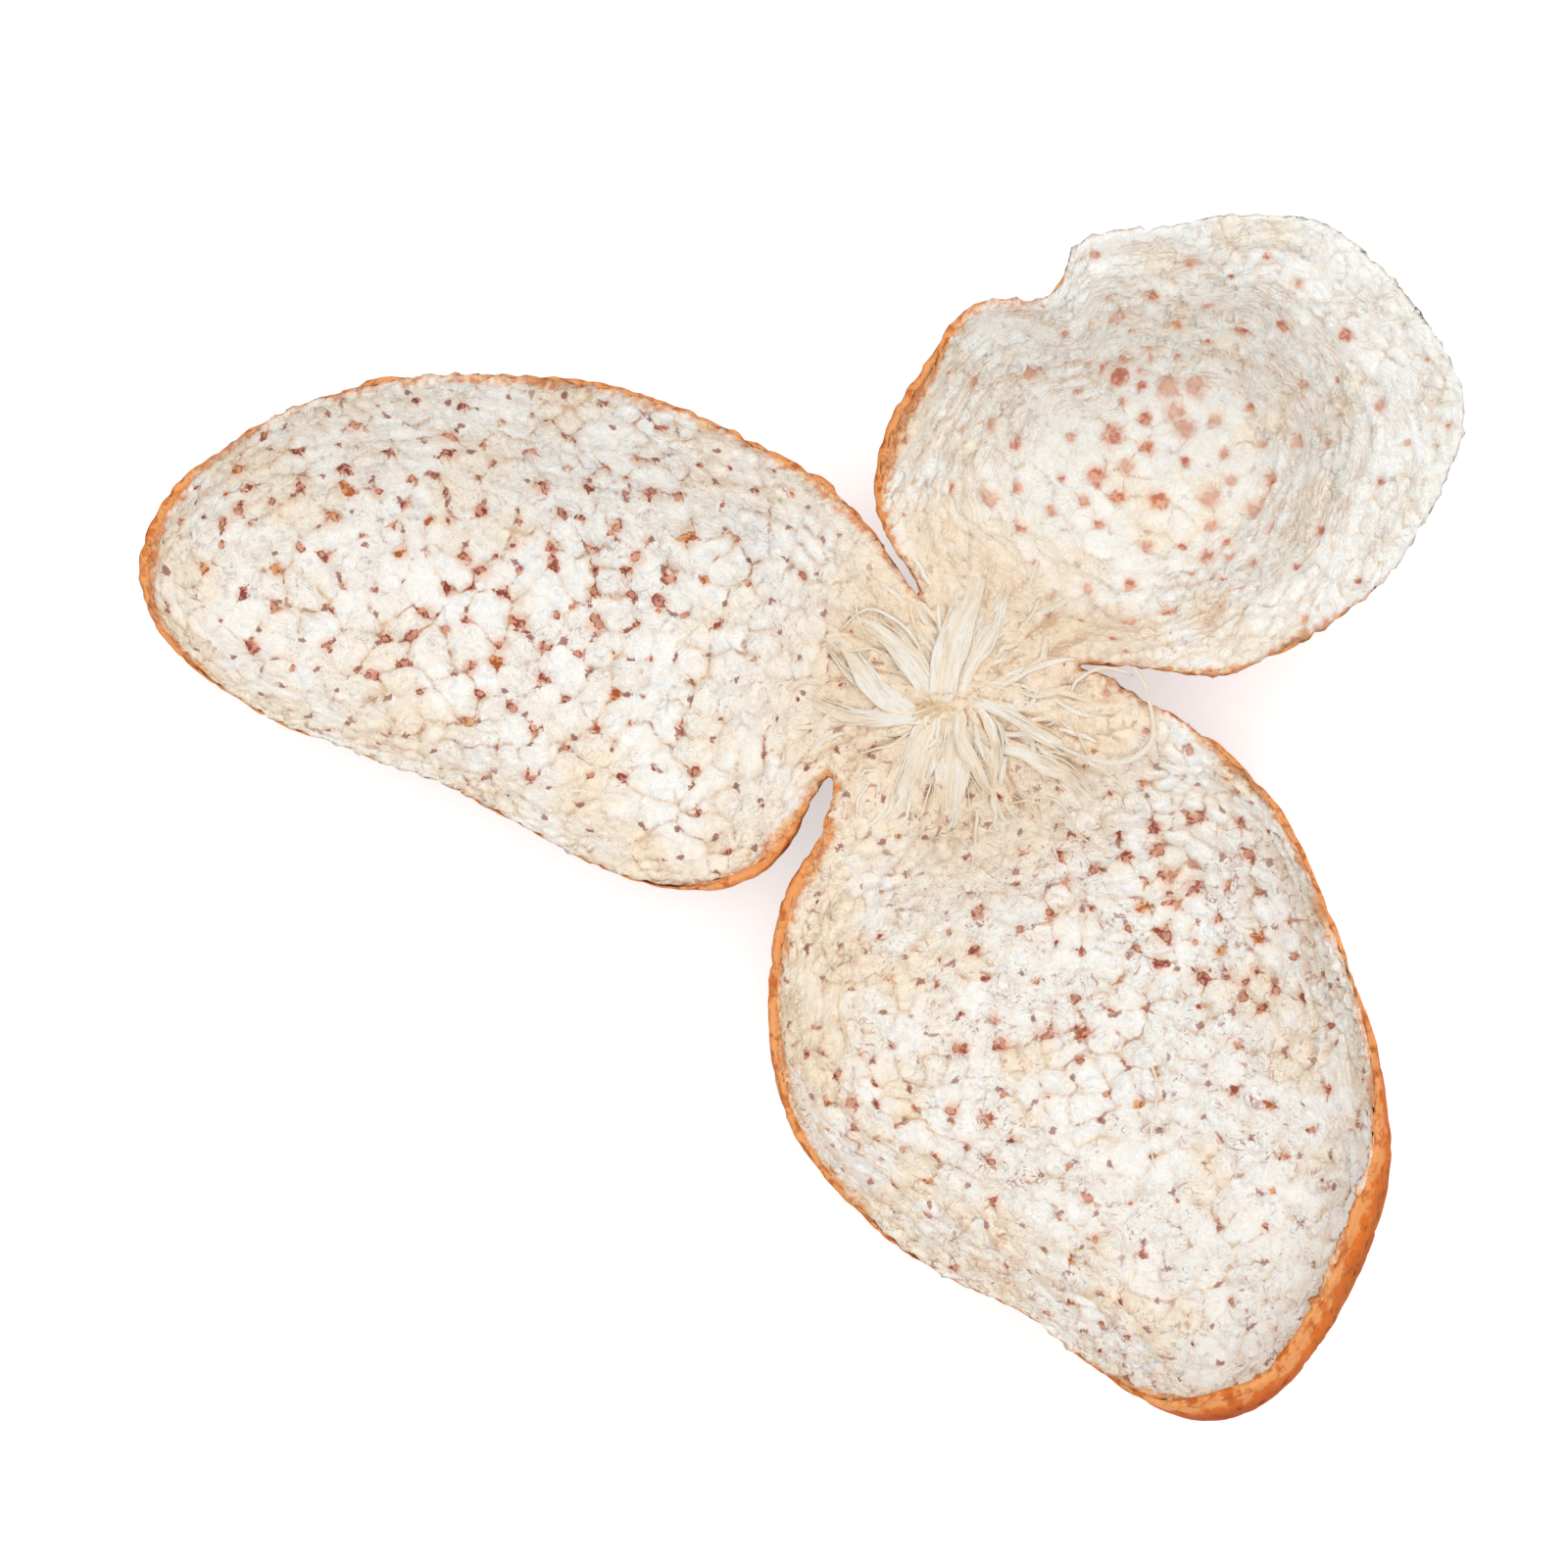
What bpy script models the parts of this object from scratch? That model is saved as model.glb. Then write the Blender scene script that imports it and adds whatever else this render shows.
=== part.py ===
"""A dried mandarin peel, torn into three lobes that are still joined at the blossom end.

It lies rind down and pith up. The hub, where the lobes meet, is a low hill. From it each lobe
falls into a scoop that rests on the table with its belly, and rises again to a torn rim.
Lengths are in millimetres and angles in degrees. MM turns lengths into Blender's metres.
"""

import math
from dataclasses import dataclass

import bpy
from mathutils import Matrix, Vector, geometry, noise

MM = 0.001

# The sheet: white pith on a thin orange rind, thinner near the torn rim.
THICKNESS = 2.1
RIM_THICKNESS_SHARE = 0.5
RIM_TAPER = 6.0
PITH_COLOUR = (0.80, 0.72, 0.60, 1.0)
PITH_ROUGHNESS = 0.9

# The mesh: its triangles' size in plan and how near the inner points come to the rim.
MESH_SPACING = 2.05
RIM_CLEARANCE = 0.6 * MESH_SPACING
SIDE_STEPS = 90

# The hub and the three notches between the lobes, as (azimuth, distance from the hub's middle).
HUB_HEIGHT = 14.5
HUB_REACH = 8.5
HUB_FADE = 6.0
SEAM_SOFTNESS = 3.5
UPPER_NOTCH = (115.4, 9.0)
LOWER_NOTCH = (214.6, 12.9)
RIGHT_NOTCH = (19.9, 9.6)
NOTCH_HEIGHT = 12.8
LOWER_NOTCH_HEIGHT = 11.6

# A lipped wall: the shares of its width between which it rises, and of its height where the lip starts.
LIP_FOOT = 0.38
LIP_START = 0.78
LIP_LEVEL = 0.86

# Along a lobe, as shares of its length: where the valley is fully aside, and where its fold fades.
VALLEY_ASIDE = 0.4
FOLD_START = 0.2
FOLD_END = 0.95
FOLD_FADE = 0.2

# How deep the table's plane cuts each belly's flat spot, and how often the peel is levelled on it.
TABLE_CUT = 0.45
SETTLING_PASSES = 4


@dataclass(frozen=True)
class Wave:
    """Unevenness of this height, with bumps this far apart."""

    height: float
    spacing: float
    seed: float


SWELL = Wave(height=1.0, spacing=17.0, seed=1.5)
BUCKLE = Wave(height=0.55, spacing=7.0, seed=8.5)
TEAR = Wave(height=0.55, spacing=4.5, seed=5.5)


@dataclass(frozen=True)
class Side:
    """One long side of a lobe.

    Each list holds (share of the lobe's length, value) from the notch outward to the tip.
    widths: the half-width of the pith, before the tip closes it
    rim: the height of the torn rim
    wrap: the angle that the wall turns through; over 90 its rim curls back in
    lip: 0 for a plain wall, up to 1 where it levels off into an outward lip
    vee: how much straighter than an arc the wall rises, so that the valley is a fold
    """

    widths: tuple
    rim: tuple
    wrap: tuple
    lip: tuple
    vee: float


@dataclass(frozen=True)
class Lobe:
    """One lobe: a scoop about a straight spine from the hub's middle to its tip.

    floor: (share of the length, height) of the valley's pith, from the hub to the turning point
    turning: share of the length from which the tip's wall fans out
    valley: how far the lowest line lies to the left of the spine
    roundness: exponent of the tip's outline, larger for a squarer tip
    nicks: (share of the length, depth, half-length) of each folded dent in the left side
    """

    azimuth: float
    length: float
    floor: tuple
    turning: float
    valley: float
    roundness: float
    nicks: tuple
    left: Side
    right: Side
    left_notch: tuple
    right_notch: tuple


LEFT_LOBE = Lobe(
    azimuth=175.4,
    length=72.0,
    floor=((0.0, HUB_HEIGHT), (0.14, 12.0), (0.34, 4.6), (0.52, THICKNESS), (0.76, 3.0)),
    turning=0.74,
    valley=-3.5,
    roundness=7.0,
    nicks=(),
    left=Side(
        widths=(
            (0.145, 7.8), (0.17, 13.0), (0.21, 17.6), (0.30, 20.3), (0.42, 19.3),
            (0.60, 15.3), (1.0, 12.5),
        ),
        rim=(
            (0.145, LOWER_NOTCH_HEIGHT), (0.22, 12.5), (0.34, 12.0), (0.55, 12.0),
            (0.80, 12.5), (1.0, 13.0),
        ),
        wrap=((0.145, 60.0), (0.22, 96.0), (0.36, 74.0), (0.60, 64.0), (0.85, 76.0), (1.0, 88.0)),
        lip=((0.145, 0.0), (1.0, 0.0)),
        vee=0.35,
    ),
    right=Side(
        widths=(
            (0.062, 7.9), (0.14, 12.7), (0.24, 16.7), (0.45, 20.0), (0.66, 19.7),
            (0.86, 17.2), (1.0, 13.5),
        ),
        rim=(
            (0.062, NOTCH_HEIGHT), (0.15, 13.5), (0.35, 16.5), (0.60, 18.5),
            (0.80, 17.0), (1.0, 13.0),
        ),
        wrap=((0.062, 25.0), (0.35, 78.0), (0.70, 82.0), (1.0, 88.0)),
        lip=((0.062, 0.0), (0.35, 0.3), (0.75, 0.25), (1.0, 0.0)),
        vee=0.65,
    ),
    left_notch=LOWER_NOTCH,
    right_notch=UPPER_NOTCH,
)

UPPER_LOBE = Lobe(
    azimuth=55.0,
    length=51.0,
    floor=((0.0, HUB_HEIGHT), (0.12, 12.6), (0.34, 5.0), (0.50, THICKNESS), (0.62, THICKNESS)),
    turning=0.56,
    valley=2.0,
    roundness=12.0,
    nicks=((0.60, 4.0, 3.2),),
    left=Side(
        widths=(
            (0.083, 8.3), (0.13, 14.0), (0.22, 18.0), (0.38, 19.5), (0.52, 20.3),
            (0.72, 16.9), (0.84, 11.4), (1.0, 7.3),
        ),
        rim=(
            (0.083, NOTCH_HEIGHT), (0.14, 15.0), (0.24, 18.5), (0.40, 20.5),
            (0.70, 21.5), (1.0, 22.0),
        ),
        wrap=((0.083, 30.0), (0.24, 80.0), (0.50, 86.0), (0.75, 70.0), (1.0, 70.0)),
        lip=((0.083, 0.0), (0.24, 0.25), (0.52, 0.2), (0.70, 0.75), (1.0, 0.9)),
        vee=0.0,
    ),
    right=Side(
        widths=(
            (0.16, 5.2), (0.20, 7.2), (0.28, 14.4), (0.37, 17.9), (0.58, 21.6),
            (0.78, 21.0), (1.0, 20.4),
        ),
        rim=((0.16, NOTCH_HEIGHT), (0.30, 14.5), (0.50, 17.5), (0.75, 20.5), (1.0, 22.0)),
        wrap=((0.16, 25.0), (0.45, 70.0), (1.0, 70.0)),
        lip=((0.16, 0.1), (0.40, 0.6), (0.70, 0.9), (1.0, 0.9)),
        vee=0.0,
    ),
    left_notch=UPPER_NOTCH,
    right_notch=RIGHT_NOTCH,
)

LOWER_LOBE = Lobe(
    azimuth=-64.0,
    length=65.3,
    floor=((0.0, HUB_HEIGHT), (0.14, 11.6), (0.30, 4.2), (0.42, THICKNESS), (0.66, 5.0)),
    turning=0.64,
    valley=-3.0,
    roundness=6.0,
    nicks=(),
    left=Side(
        widths=(
            (0.012, 10.1), (0.105, 15.5), (0.27, 21.0), (0.46, 22.0), (0.67, 21.6),
            (0.82, 20.2), (1.0, 14.0),
        ),
        rim=((0.012, NOTCH_HEIGHT), (0.18, 13.8), (0.45, 15.5), (0.75, 17.5), (1.0, 17.5)),
        wrap=((0.012, 30.0), (0.25, 86.0), (0.60, 96.0), (0.85, 112.0), (1.0, 106.0)),
        lip=((0.012, 0.0), (1.0, 0.0)),
        vee=0.15,
    ),
    right=Side(
        widths=(
            (0.025, 12.5), (0.10, 15.2), (0.20, 21.0), (0.39, 26.0), (0.52, 25.9),
            (0.70, 21.2), (0.80, 16.2), (1.0, 12.0),
        ),
        rim=(
            (0.025, LOWER_NOTCH_HEIGHT), (0.12, 13.5), (0.32, 16.5), (0.60, 17.5),
            (0.85, 16.5), (1.0, 17.5),
        ),
        wrap=((0.025, 30.0), (0.25, 88.0), (0.50, 88.0), (0.72, 66.0), (0.88, 76.0), (1.0, 106.0)),
        lip=((0.025, 0.0), (1.0, 0.0)),
        vee=0.3,
    ),
    left_notch=RIGHT_NOTCH,
    right_notch=LOWER_NOTCH,
)

LOBES = (UPPER_LOBE, LEFT_LOBE, LOWER_LOBE)


def mix(low, high, share):
    return low + (high - low) * share


def smooth(share):
    """0 below 0, 1 above 1, and an S-curve between them."""
    share = min(1.0, max(0.0, share))
    return share * share * (3.0 - 2.0 * share)


def through(stations, place):
    """The value at this place of a smooth curve through (place, value) stations."""
    places = [station[0] for station in stations]
    values = [station[1] for station in stations]
    last = len(stations) - 1
    place = min(max(place, places[0]), places[last])
    start = next(i for i in range(last) if place <= places[i + 1])
    slopes = []
    for i in (start, start + 1):
        before = max(i - 1, 0)
        after = min(i + 1, last)
        slopes.append((values[after] - values[before]) / (places[after] - places[before]))
    span = places[start + 1] - places[start]
    share = (place - places[start]) / span
    square = share * share
    cube = square * share
    return (
        values[start] * (2.0 * cube - 3.0 * square + 1.0)
        + values[start + 1] * (3.0 * square - 2.0 * cube)
        + slopes[0] * span * (cube - 2.0 * square + share)
        + slopes[1] * span * (cube - square)
    )


def polar(azimuth, distance):
    return Vector((math.cos(math.radians(azimuth)), math.sin(math.radians(azimuth)))) * distance


def waviness(point, wave):
    """The wave's smooth noise at a place in plan."""
    return wave.height * noise.noise(Vector((point.x / wave.spacing, point.y / wave.spacing, wave.seed)))


def along_and_left(lobe, point):
    """A point in plan as the distance along the lobe's spine and to its left."""
    spine = polar(lobe.azimuth, 1.0)
    return point.dot(spine), spine.cross(point)


def in_plan(lobe, along, left):
    return polar(lobe.azimuth, along) + polar(lobe.azimuth + 90.0, left)


def half_width(lobe, side, share):
    """The lobe's half-width there: its stations' curve, closed by the rounded tip, less any nick."""
    closing = math.sqrt(max(0.0, 1.0 - share**lobe.roundness))
    width = through(side.widths, share) * closing
    if side is lobe.left:
        for place, depth, reach in lobe.nicks:
            width -= depth * math.exp(-(((share - place) * lobe.length / reach) ** 2))
    return width


def wall_rise(share, wrap, lip, vee):
    """The share of its height that a wall has at this share of its width."""
    turn = math.radians(wrap)
    arc = (1.0 - math.cos(turn * share)) / (1.0 - math.cos(turn))
    climb = smooth((share - LIP_FOOT) / (LIP_START - LIP_FOOT))
    flare = smooth((share - LIP_START) / (1.0 - LIP_START))
    return mix(mix(arc, share, vee), mix(LIP_LEVEL * climb, 1.0, flare), lip)


def wall_reach(share, wrap, lip):
    """The share of its width that a wall has reached, before its rim curls back."""
    turn = math.radians(wrap)
    arc = math.sin(turn * share) / math.sin(min(turn, math.pi / 2.0))
    return mix(arc, share, lip)


def side_outline(lobe, side, notch):
    """Plan points of one side, from its notch to just before the tip."""
    sign = 1.0 if side is lobe.left else -1.0
    first = side.widths[0][0]
    points = []
    for i in range(1, SIDE_STEPS):
        share = mix(first, 1.0, math.sin(math.pi / 2.0 * i / SIDE_STEPS))
        points.append(in_plan(lobe, share * lobe.length, sign * half_width(lobe, side, share)))
    return [polar(*notch)] + points


def lobe_outline(lobe):
    """Plan points round the lobe, counter-clockwise from its right notch to its left notch."""
    tip = in_plan(lobe, lobe.length, 0.0)
    left = side_outline(lobe, lobe.left, lobe.left_notch)
    return side_outline(lobe, lobe.right, lobe.right_notch) + [tip] + left[::-1]


def respaced(points, spacing):
    """The closed line through these points, with even steps of about this length."""
    lengths = [0.0]
    for here, after in zip(points, points[1:] + points[:1]):
        lengths.append(lengths[-1] + (after - here).length)
    count = round(lengths[-1] / spacing)
    result = []
    segment = 0
    for i in range(count):
        reach = lengths[-1] * i / count
        while lengths[segment + 1] < reach:
            segment += 1
        share = (reach - lengths[segment]) / (lengths[segment + 1] - lengths[segment])
        result.append(points[segment].lerp(points[(segment + 1) % len(points)], share))
    return result


def peel_outline():
    """The whole peel's outline in plan, with the uneven line of a tear."""
    points = []
    for lobe in LOBES:
        points += lobe_outline(lobe)[1:]
    even = respaced(points, MESH_SPACING)
    torn = []
    for i, point in enumerate(even):
        direction = (even[(i + 1) % len(even)] - even[i - 1]).normalized()
        torn.append(point + Vector((direction.y, -direction.x)) * waviness(point, TEAR))
    return torn


def distance_to_line(point, line):
    """How far the point is from a closed line."""
    nearest = math.inf
    for start, end in zip(line, line[1:] + line[:1]):
        foot, share = geometry.intersect_point_line(point, start, end)
        foot = start.lerp(end, min(1.0, max(0.0, share)))
        nearest = min(nearest, (point - foot).length)
    return nearest


def inside(point, line):
    """Whether the point lies inside a closed line."""
    crossings = 0
    for start, end in zip(line, line[1:] + line[:1]):
        if (start.y > point.y) != (end.y > point.y):
            share = (point.y - start.y) / (end.y - start.y)
            crossings += point.x < mix(start.x, end.x, share)
    return crossings % 2 == 1


def lattice(outline):
    """Points of a triangular lattice inside the outline, clear of its own points."""
    row_step = MESH_SPACING * math.sqrt(3.0) / 2.0
    low = Vector((min(p.x for p in outline), min(p.y for p in outline)))
    high = Vector((max(p.x for p in outline), max(p.y for p in outline)))
    points = []
    for row in range(int((high.y - low.y) / row_step) + 1):
        for column in range(int((high.x - low.x) / MESH_SPACING) + 2):
            point = low + Vector(((column + 0.5 * (row % 2)) * MESH_SPACING, row * row_step))
            if inside(point, outline) and distance_to_line(point, outline) > RIM_CLEARANCE:
                points.append(point)
    return points


def reach_to_rim(lobe, start, heading):
    """How far the lobe's outline lies from a (along, left) start in this heading."""
    near = 0.0
    far = lobe.length
    while far - near > 0.01:
        middle = (near + far) / 2.0
        place = start + heading * middle
        share = place.x / lobe.length
        side = lobe.left if place.y > 0.0 else lobe.right
        if share < 1.0 and abs(place.y) < half_width(lobe, side, max(0.0, share)):
            near = middle
        else:
            far = middle
    return near


def on_lobe(lobe, point):
    """Where this lobe's scoop carries a point of the flat plan: (x, y, height)."""
    place = Vector(along_and_left(lobe, point))
    share = max(0.0, place.x / lobe.length)
    foot_share = min(share, lobe.turning)
    foot = Vector((foot_share * lobe.length, lobe.valley * smooth(foot_share / VALLEY_ASIDE)))
    side = lobe.left if place.y > foot.y else lobe.right
    heading = (place - foot).normalized()
    span = reach_to_rim(lobe, foot, heading)
    reach = (place - foot).length / max(span, 0.01)
    rim_share = min(1.0, foot_share + span * max(0.0, heading.x) / lobe.length)
    wrap = through(side.wrap, rim_share)
    lip = through(side.lip, rim_share)
    fold_share = smooth((share - FOLD_START) / FOLD_FADE) * smooth((FOLD_END - share) / FOLD_FADE)
    vee = side.vee * fold_share
    floor = through(lobe.floor, foot_share)
    height = mix(floor, through(side.rim, rim_share), wall_rise(reach, wrap, lip, vee))
    spread = foot + heading * span * wall_reach(reach, wrap, lip)
    spot = in_plan(lobe, spread.x, spread.y)
    return Vector((spot.x, spot.y, height))


def raised(point, outlines):
    """Where the peel carries a point of the flat plan, with the lobes run together at the hub."""
    hub_share = 1.0 - smooth((point.length - HUB_REACH) / HUB_FADE)
    gaps = {}
    for lobe in LOBES:
        gaps[lobe] = 0.0 if inside(point, outlines[lobe]) else distance_to_line(point, outlines[lobe])
    home = min(LOBES, key=gaps.get)
    total = Vector((0.0, 0.0, 0.0))
    weights = 0.0
    for lobe in LOBES:
        nearness = math.exp(-((gaps[lobe] / SEAM_SOFTNESS) ** 2))
        weight = 1.0 if lobe is home else hub_share * nearness
        total += on_lobe(lobe, point) * weight
        weights += weight
    place = total / weights
    place.z += waviness(point, SWELL) + waviness(point, BUCKLE)
    return place


def pith_sheet(outline):
    """The pith side as one open sheet, its triangles even in plan and then raised."""
    inner = lattice(outline)
    count = len(outline)
    rim = [(i, (i + 1) % count) for i in range(count)]
    points, _, faces, *_ = geometry.delaunay_2d_cdt(outline + inner, rim, [], 1, 0.001)
    outlines = {lobe: lobe_outline(lobe) + [Vector((0.0, 0.0))] for lobe in LOBES}
    mesh = bpy.data.meshes.new("pith sheet")
    mesh.from_pydata([raised(point, outlines) for point in points], [], faces)
    sheet = bpy.data.objects.new("pith sheet", mesh)
    bpy.context.scene.collection.objects.link(sheet)
    group = sheet.vertex_groups.new(name="thickness")
    for i, point in enumerate(points):
        group.add([i], smooth(distance_to_line(point, outline) / RIM_TAPER), "REPLACE")
    return sheet


def thickened(sheet):
    """The closed mesh of the sheet with its rind side below, thinner towards the torn rim."""
    solidify = sheet.modifiers.new("thickness", "SOLIDIFY")
    solidify.thickness = THICKNESS
    solidify.offset = -1.0
    solidify.vertex_group = "thickness"
    solidify.thickness_vertex_group = RIM_THICKNESS_SHARE
    graph = bpy.context.evaluated_depsgraph_get()
    mesh = bpy.data.meshes.new_from_object(sheet.evaluated_get(graph))
    bpy.data.objects.remove(sheet)
    return mesh


def lowest_in(mesh, lobe):
    """The lowest point of the mesh within this lobe's own third of the plan."""
    spines = {other: polar(other.azimuth, 1.0) for other in LOBES}
    own = []
    for vert in mesh.vertices:
        plan = vert.co.xy
        if max(LOBES, key=lambda other: plan.dot(spines[other])) is lobe:
            own.append(vert.co)
    return min(own, key=lambda co: co.z).copy()


def settle(mesh):
    """Lean the heights until all three bellies touch the table, then flatten a small spot under each."""
    for _ in range(SETTLING_PASSES):
        bellies = [lowest_in(mesh, lobe) for lobe in LOBES]
        normal = geometry.normal(bellies)
        for vert in mesh.vertices:
            vert.co.z += (vert.co - bellies[0]).xy.dot(normal.xy) / normal.z - bellies[0].z
    for vert in mesh.vertices:
        vert.co.z = max(0.0, vert.co.z - TABLE_CUT)


def middle_of(mesh):
    """The middle of the mesh's box in plan, at the height of the table."""
    xs = [vert.co.x for vert in mesh.vertices]
    ys = [vert.co.y for vert in mesh.vertices]
    return Vector(((min(xs) + max(xs)) / 2.0, (min(ys) + max(ys)) / 2.0, 0.0))


def pith_material():
    material = bpy.data.materials.new("dried pith")
    material.use_nodes = True
    shader = material.node_tree.nodes["Principled BSDF"]
    shader.inputs["Base Color"].default_value = PITH_COLOUR
    shader.inputs["Roughness"].default_value = PITH_ROUGHNESS
    shader.inputs["Metallic"].default_value = 0.0
    return material


def build_peel():
    mesh = thickened(pith_sheet(peel_outline()))
    settle(mesh)
    mesh.transform(Matrix.Scale(MM, 4) @ Matrix.Translation(-middle_of(mesh)))
    mesh.name = "peel"
    mesh.materials.append(pith_material())
    mesh.shade_smooth()
    mesh.set_sharp_from_angle(angle=math.radians(50.0))
    peel = bpy.data.objects.new("peel", mesh)
    bpy.context.scene.collection.objects.link(peel)


for leftover in list(bpy.data.objects):
    bpy.data.objects.remove(leftover)
build_peel()
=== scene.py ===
"""A dried mandarin peel lying rind down on a pale table.

Crumbly white pith, the thin orange rind under it, and the fibres at the blossom end are
modelled as pieces of their own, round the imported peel. Lengths are in millimetres from the
middle of the hub, where the three lobes meet, unless a comment says metres.
"""

import math
import random

import bmesh
import bpy
import numpy as np
from mathutils import Matrix, Vector, kdtree, noise
from mathutils.bvhtree import BVHTree


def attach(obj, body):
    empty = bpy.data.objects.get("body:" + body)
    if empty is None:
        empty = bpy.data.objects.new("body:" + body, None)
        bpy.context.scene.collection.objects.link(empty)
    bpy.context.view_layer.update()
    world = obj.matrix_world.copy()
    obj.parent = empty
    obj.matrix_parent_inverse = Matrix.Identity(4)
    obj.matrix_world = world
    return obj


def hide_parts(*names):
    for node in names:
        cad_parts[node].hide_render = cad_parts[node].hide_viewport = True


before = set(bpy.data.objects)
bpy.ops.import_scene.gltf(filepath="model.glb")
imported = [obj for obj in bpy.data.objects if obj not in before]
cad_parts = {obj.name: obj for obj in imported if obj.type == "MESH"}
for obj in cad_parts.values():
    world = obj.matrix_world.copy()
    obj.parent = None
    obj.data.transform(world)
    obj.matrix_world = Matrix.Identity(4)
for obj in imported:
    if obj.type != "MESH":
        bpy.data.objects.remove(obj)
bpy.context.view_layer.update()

MM = 0.001

# The hub's middle on the pith, and how far round it a face belongs to the hub, in metres.
HUB = Vector((0.0157, 0.0087, 0.0140))
HUB_PATCH = 0.005

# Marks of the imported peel's faces: the pith side, the torn edge and the rind side.
PITH_SIDE = 0
TORN_EDGE = 1
RIND_SIDE = 2

# Points this near are one, in metres, and folds this sharp end the pith side.
WELD = 0.000001
FOLD_ANGLE = math.radians(58.0)

# How finely the visible skins are divided, and how often their new points are relaxed.
PITH_CUTS = 2
RIND_CUTS = 1
RELAXING_PASSES = 3

# Seeds of the cushions' uneven borders, of the cushions and their marks, and of the fibres.
WARP_SEED = 3
CUSHION_SEED = 11
FIBRE_SEED = 7

# The three bowls: azimuth and distance of the bowl's middle from the hub, and a bowl's reach.
BOWL_PLACES = ((55.0, 29.0), (176.0, 38.0), (-62.0, 34.0))
BOWL_REACH = 17.0

# What differs between the three bowls.
WRINKLED = (1.0, 0.35, 0.8)
SOFT = (1.0, 0.0, 0.15)
CRUMBLY = (0.45, 0.35, 1.0)
CUSHION_SIZE = (2.9, 3.6, 2.7)
MARK_SIZE = (1.3, 1.0, 0.95)
MARK_ROOM = (2.5, 2.2, 2.2)

# Where the gland marks stand thickly: (x, y), reach, how thickly.
MARK_FIELDS = (
    ((16.0, 24.0), 13.0, 1.1),
    ((-60.0, 11.0), 11.0, 0.9),
    ((-42.0, 13.0), 13.0, 1.1),
    ((-26.0, 12.0), 8.0, 0.8),
    ((-38.0, -4.0), 8.0, 0.8),
    ((21.0, -16.0), 13.0, 1.1),
    ((6.0, -28.0), 10.0, 0.5),
    ((-5.0, -38.0), 8.0, 0.5),
)

# Where the pith is creamy: (x, y), reach, how creamy.
CREAM_FIELDS = (
    ((-56.0, -8.0), 12.0, 0.5),
    ((-26.0, -12.0), 13.0, 0.45),
    ((-12.0, -28.0), 13.0, 0.7),
    ((6.0, -50.0), 10.0, 0.4),
    ((-6.0, 22.0), 9.0, 0.5),
    ((20.0, 6.0), 10.0, 0.5),
)

# The yellowed spot in the middle of the star of fibres: (x, y), reach, how yellow.
STEM_SPOT = (((-2.2, -1.8), 1.9, 1.0),)

# Where the rind stands out beyond the torn pith: (x, y), reach along the edge, and how far.
# Below zero it stays hidden under the pith's torn edge.
BARE_RIND = (
    ((-34.0, 24.0), 26.0, 0.22),
    ((-11.0, 17.0), 7.0, 0.35),
    ((-71.0, 6.0), 9.0, 0.65),
    ((-54.0, -9.0), 11.0, -0.60),
    ((-28.0, -18.0), 9.0, -0.40),
    ((-15.0, -14.0), 6.5, 0.50),
    ((-12.5, -24.0), 13.0, 0.50),
    ((-8.0, -42.0), 8.0, 0.30),
    ((6.0, -53.0), 9.0, -0.55),
    ((28.0, -60.0), 10.0, 0.60),
    ((38.0, -44.0), 12.0, 0.40),
    ((26.0, -6.0), 12.0, 0.35),
    ((-6.5, 25.0), 7.0, 0.60),
    ((13.0, 45.0), 12.0, -0.60),
    ((33.0, 40.0), 12.0, -0.60),
    ((42.0, 22.0), 10.0, -0.50),
)

# The folds' coordinates: how a ring round a bowl and a ray from the hub are stretched.
RING_RADIUS = 5.0
RING_RISE = 2.6
RINGS_APART = 30.0
RAY_RADIUS = 9.0
RAY_STRETCH = 0.16
NO_DISTANCE = 0.01

# Cushions: the waves that warp their borders (size, distance), how unlike they are, how many
# places are tried, how folds squeeze them, and where they are small along the rim and the hub.
WARPS = ((4.2, 1.5), (1.2, 0.42))
CUSHION_SPREAD = (0.6, 1.3)
CUSHION_TRIES = 26000
FOLD_SQUEEZE = 1.2
RIM_CUSHIONS = (1.0, 8.0)
HUB_CUSHIONS = (9.0, 20.0)
ON_TOP = 0.75

# Marks and specks: how far they keep from the rim and the hub, how near the corners and borders
# of cushions they are, and the specks' spacing.
RIM_CLEARANCE = 1.2
HUB_CLEARANCE = 7.5
CORNER_WIDTH = 0.9
BORDER_WIDTH = 0.4
SPECK_ROOM = (2.5, 8.0)

# The rind: its thickness, full and where the pith covers its edge, how deep the pith's hidden
# side lies in it, and how high over the table it is free to be dented.
RIND_THICKNESS = 0.6
THIN_RIND = 0.25
PITH_SETBACK = 0.5
RESTING_HEIGHT = 1.5

# The rind's torn edge: how far it stands out of itself, its waves (size, layer of the noise,
# distance), and how far it may draw back.
EDGE_STEP = 0.06
EDGE_WAVES = ((5.0, 3.5, 0.34), (1.1, 6.5, 0.22))
EDGE_RETREAT = -0.55


def rgb(red, green, blue):
    """A colour's linear values from its sRGB ones, which are 11 to 255."""
    return (*(((value / 255.0 + 0.055) / 1.055) ** 2.4 for value in (red, green, blue)), 1.0)


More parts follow.
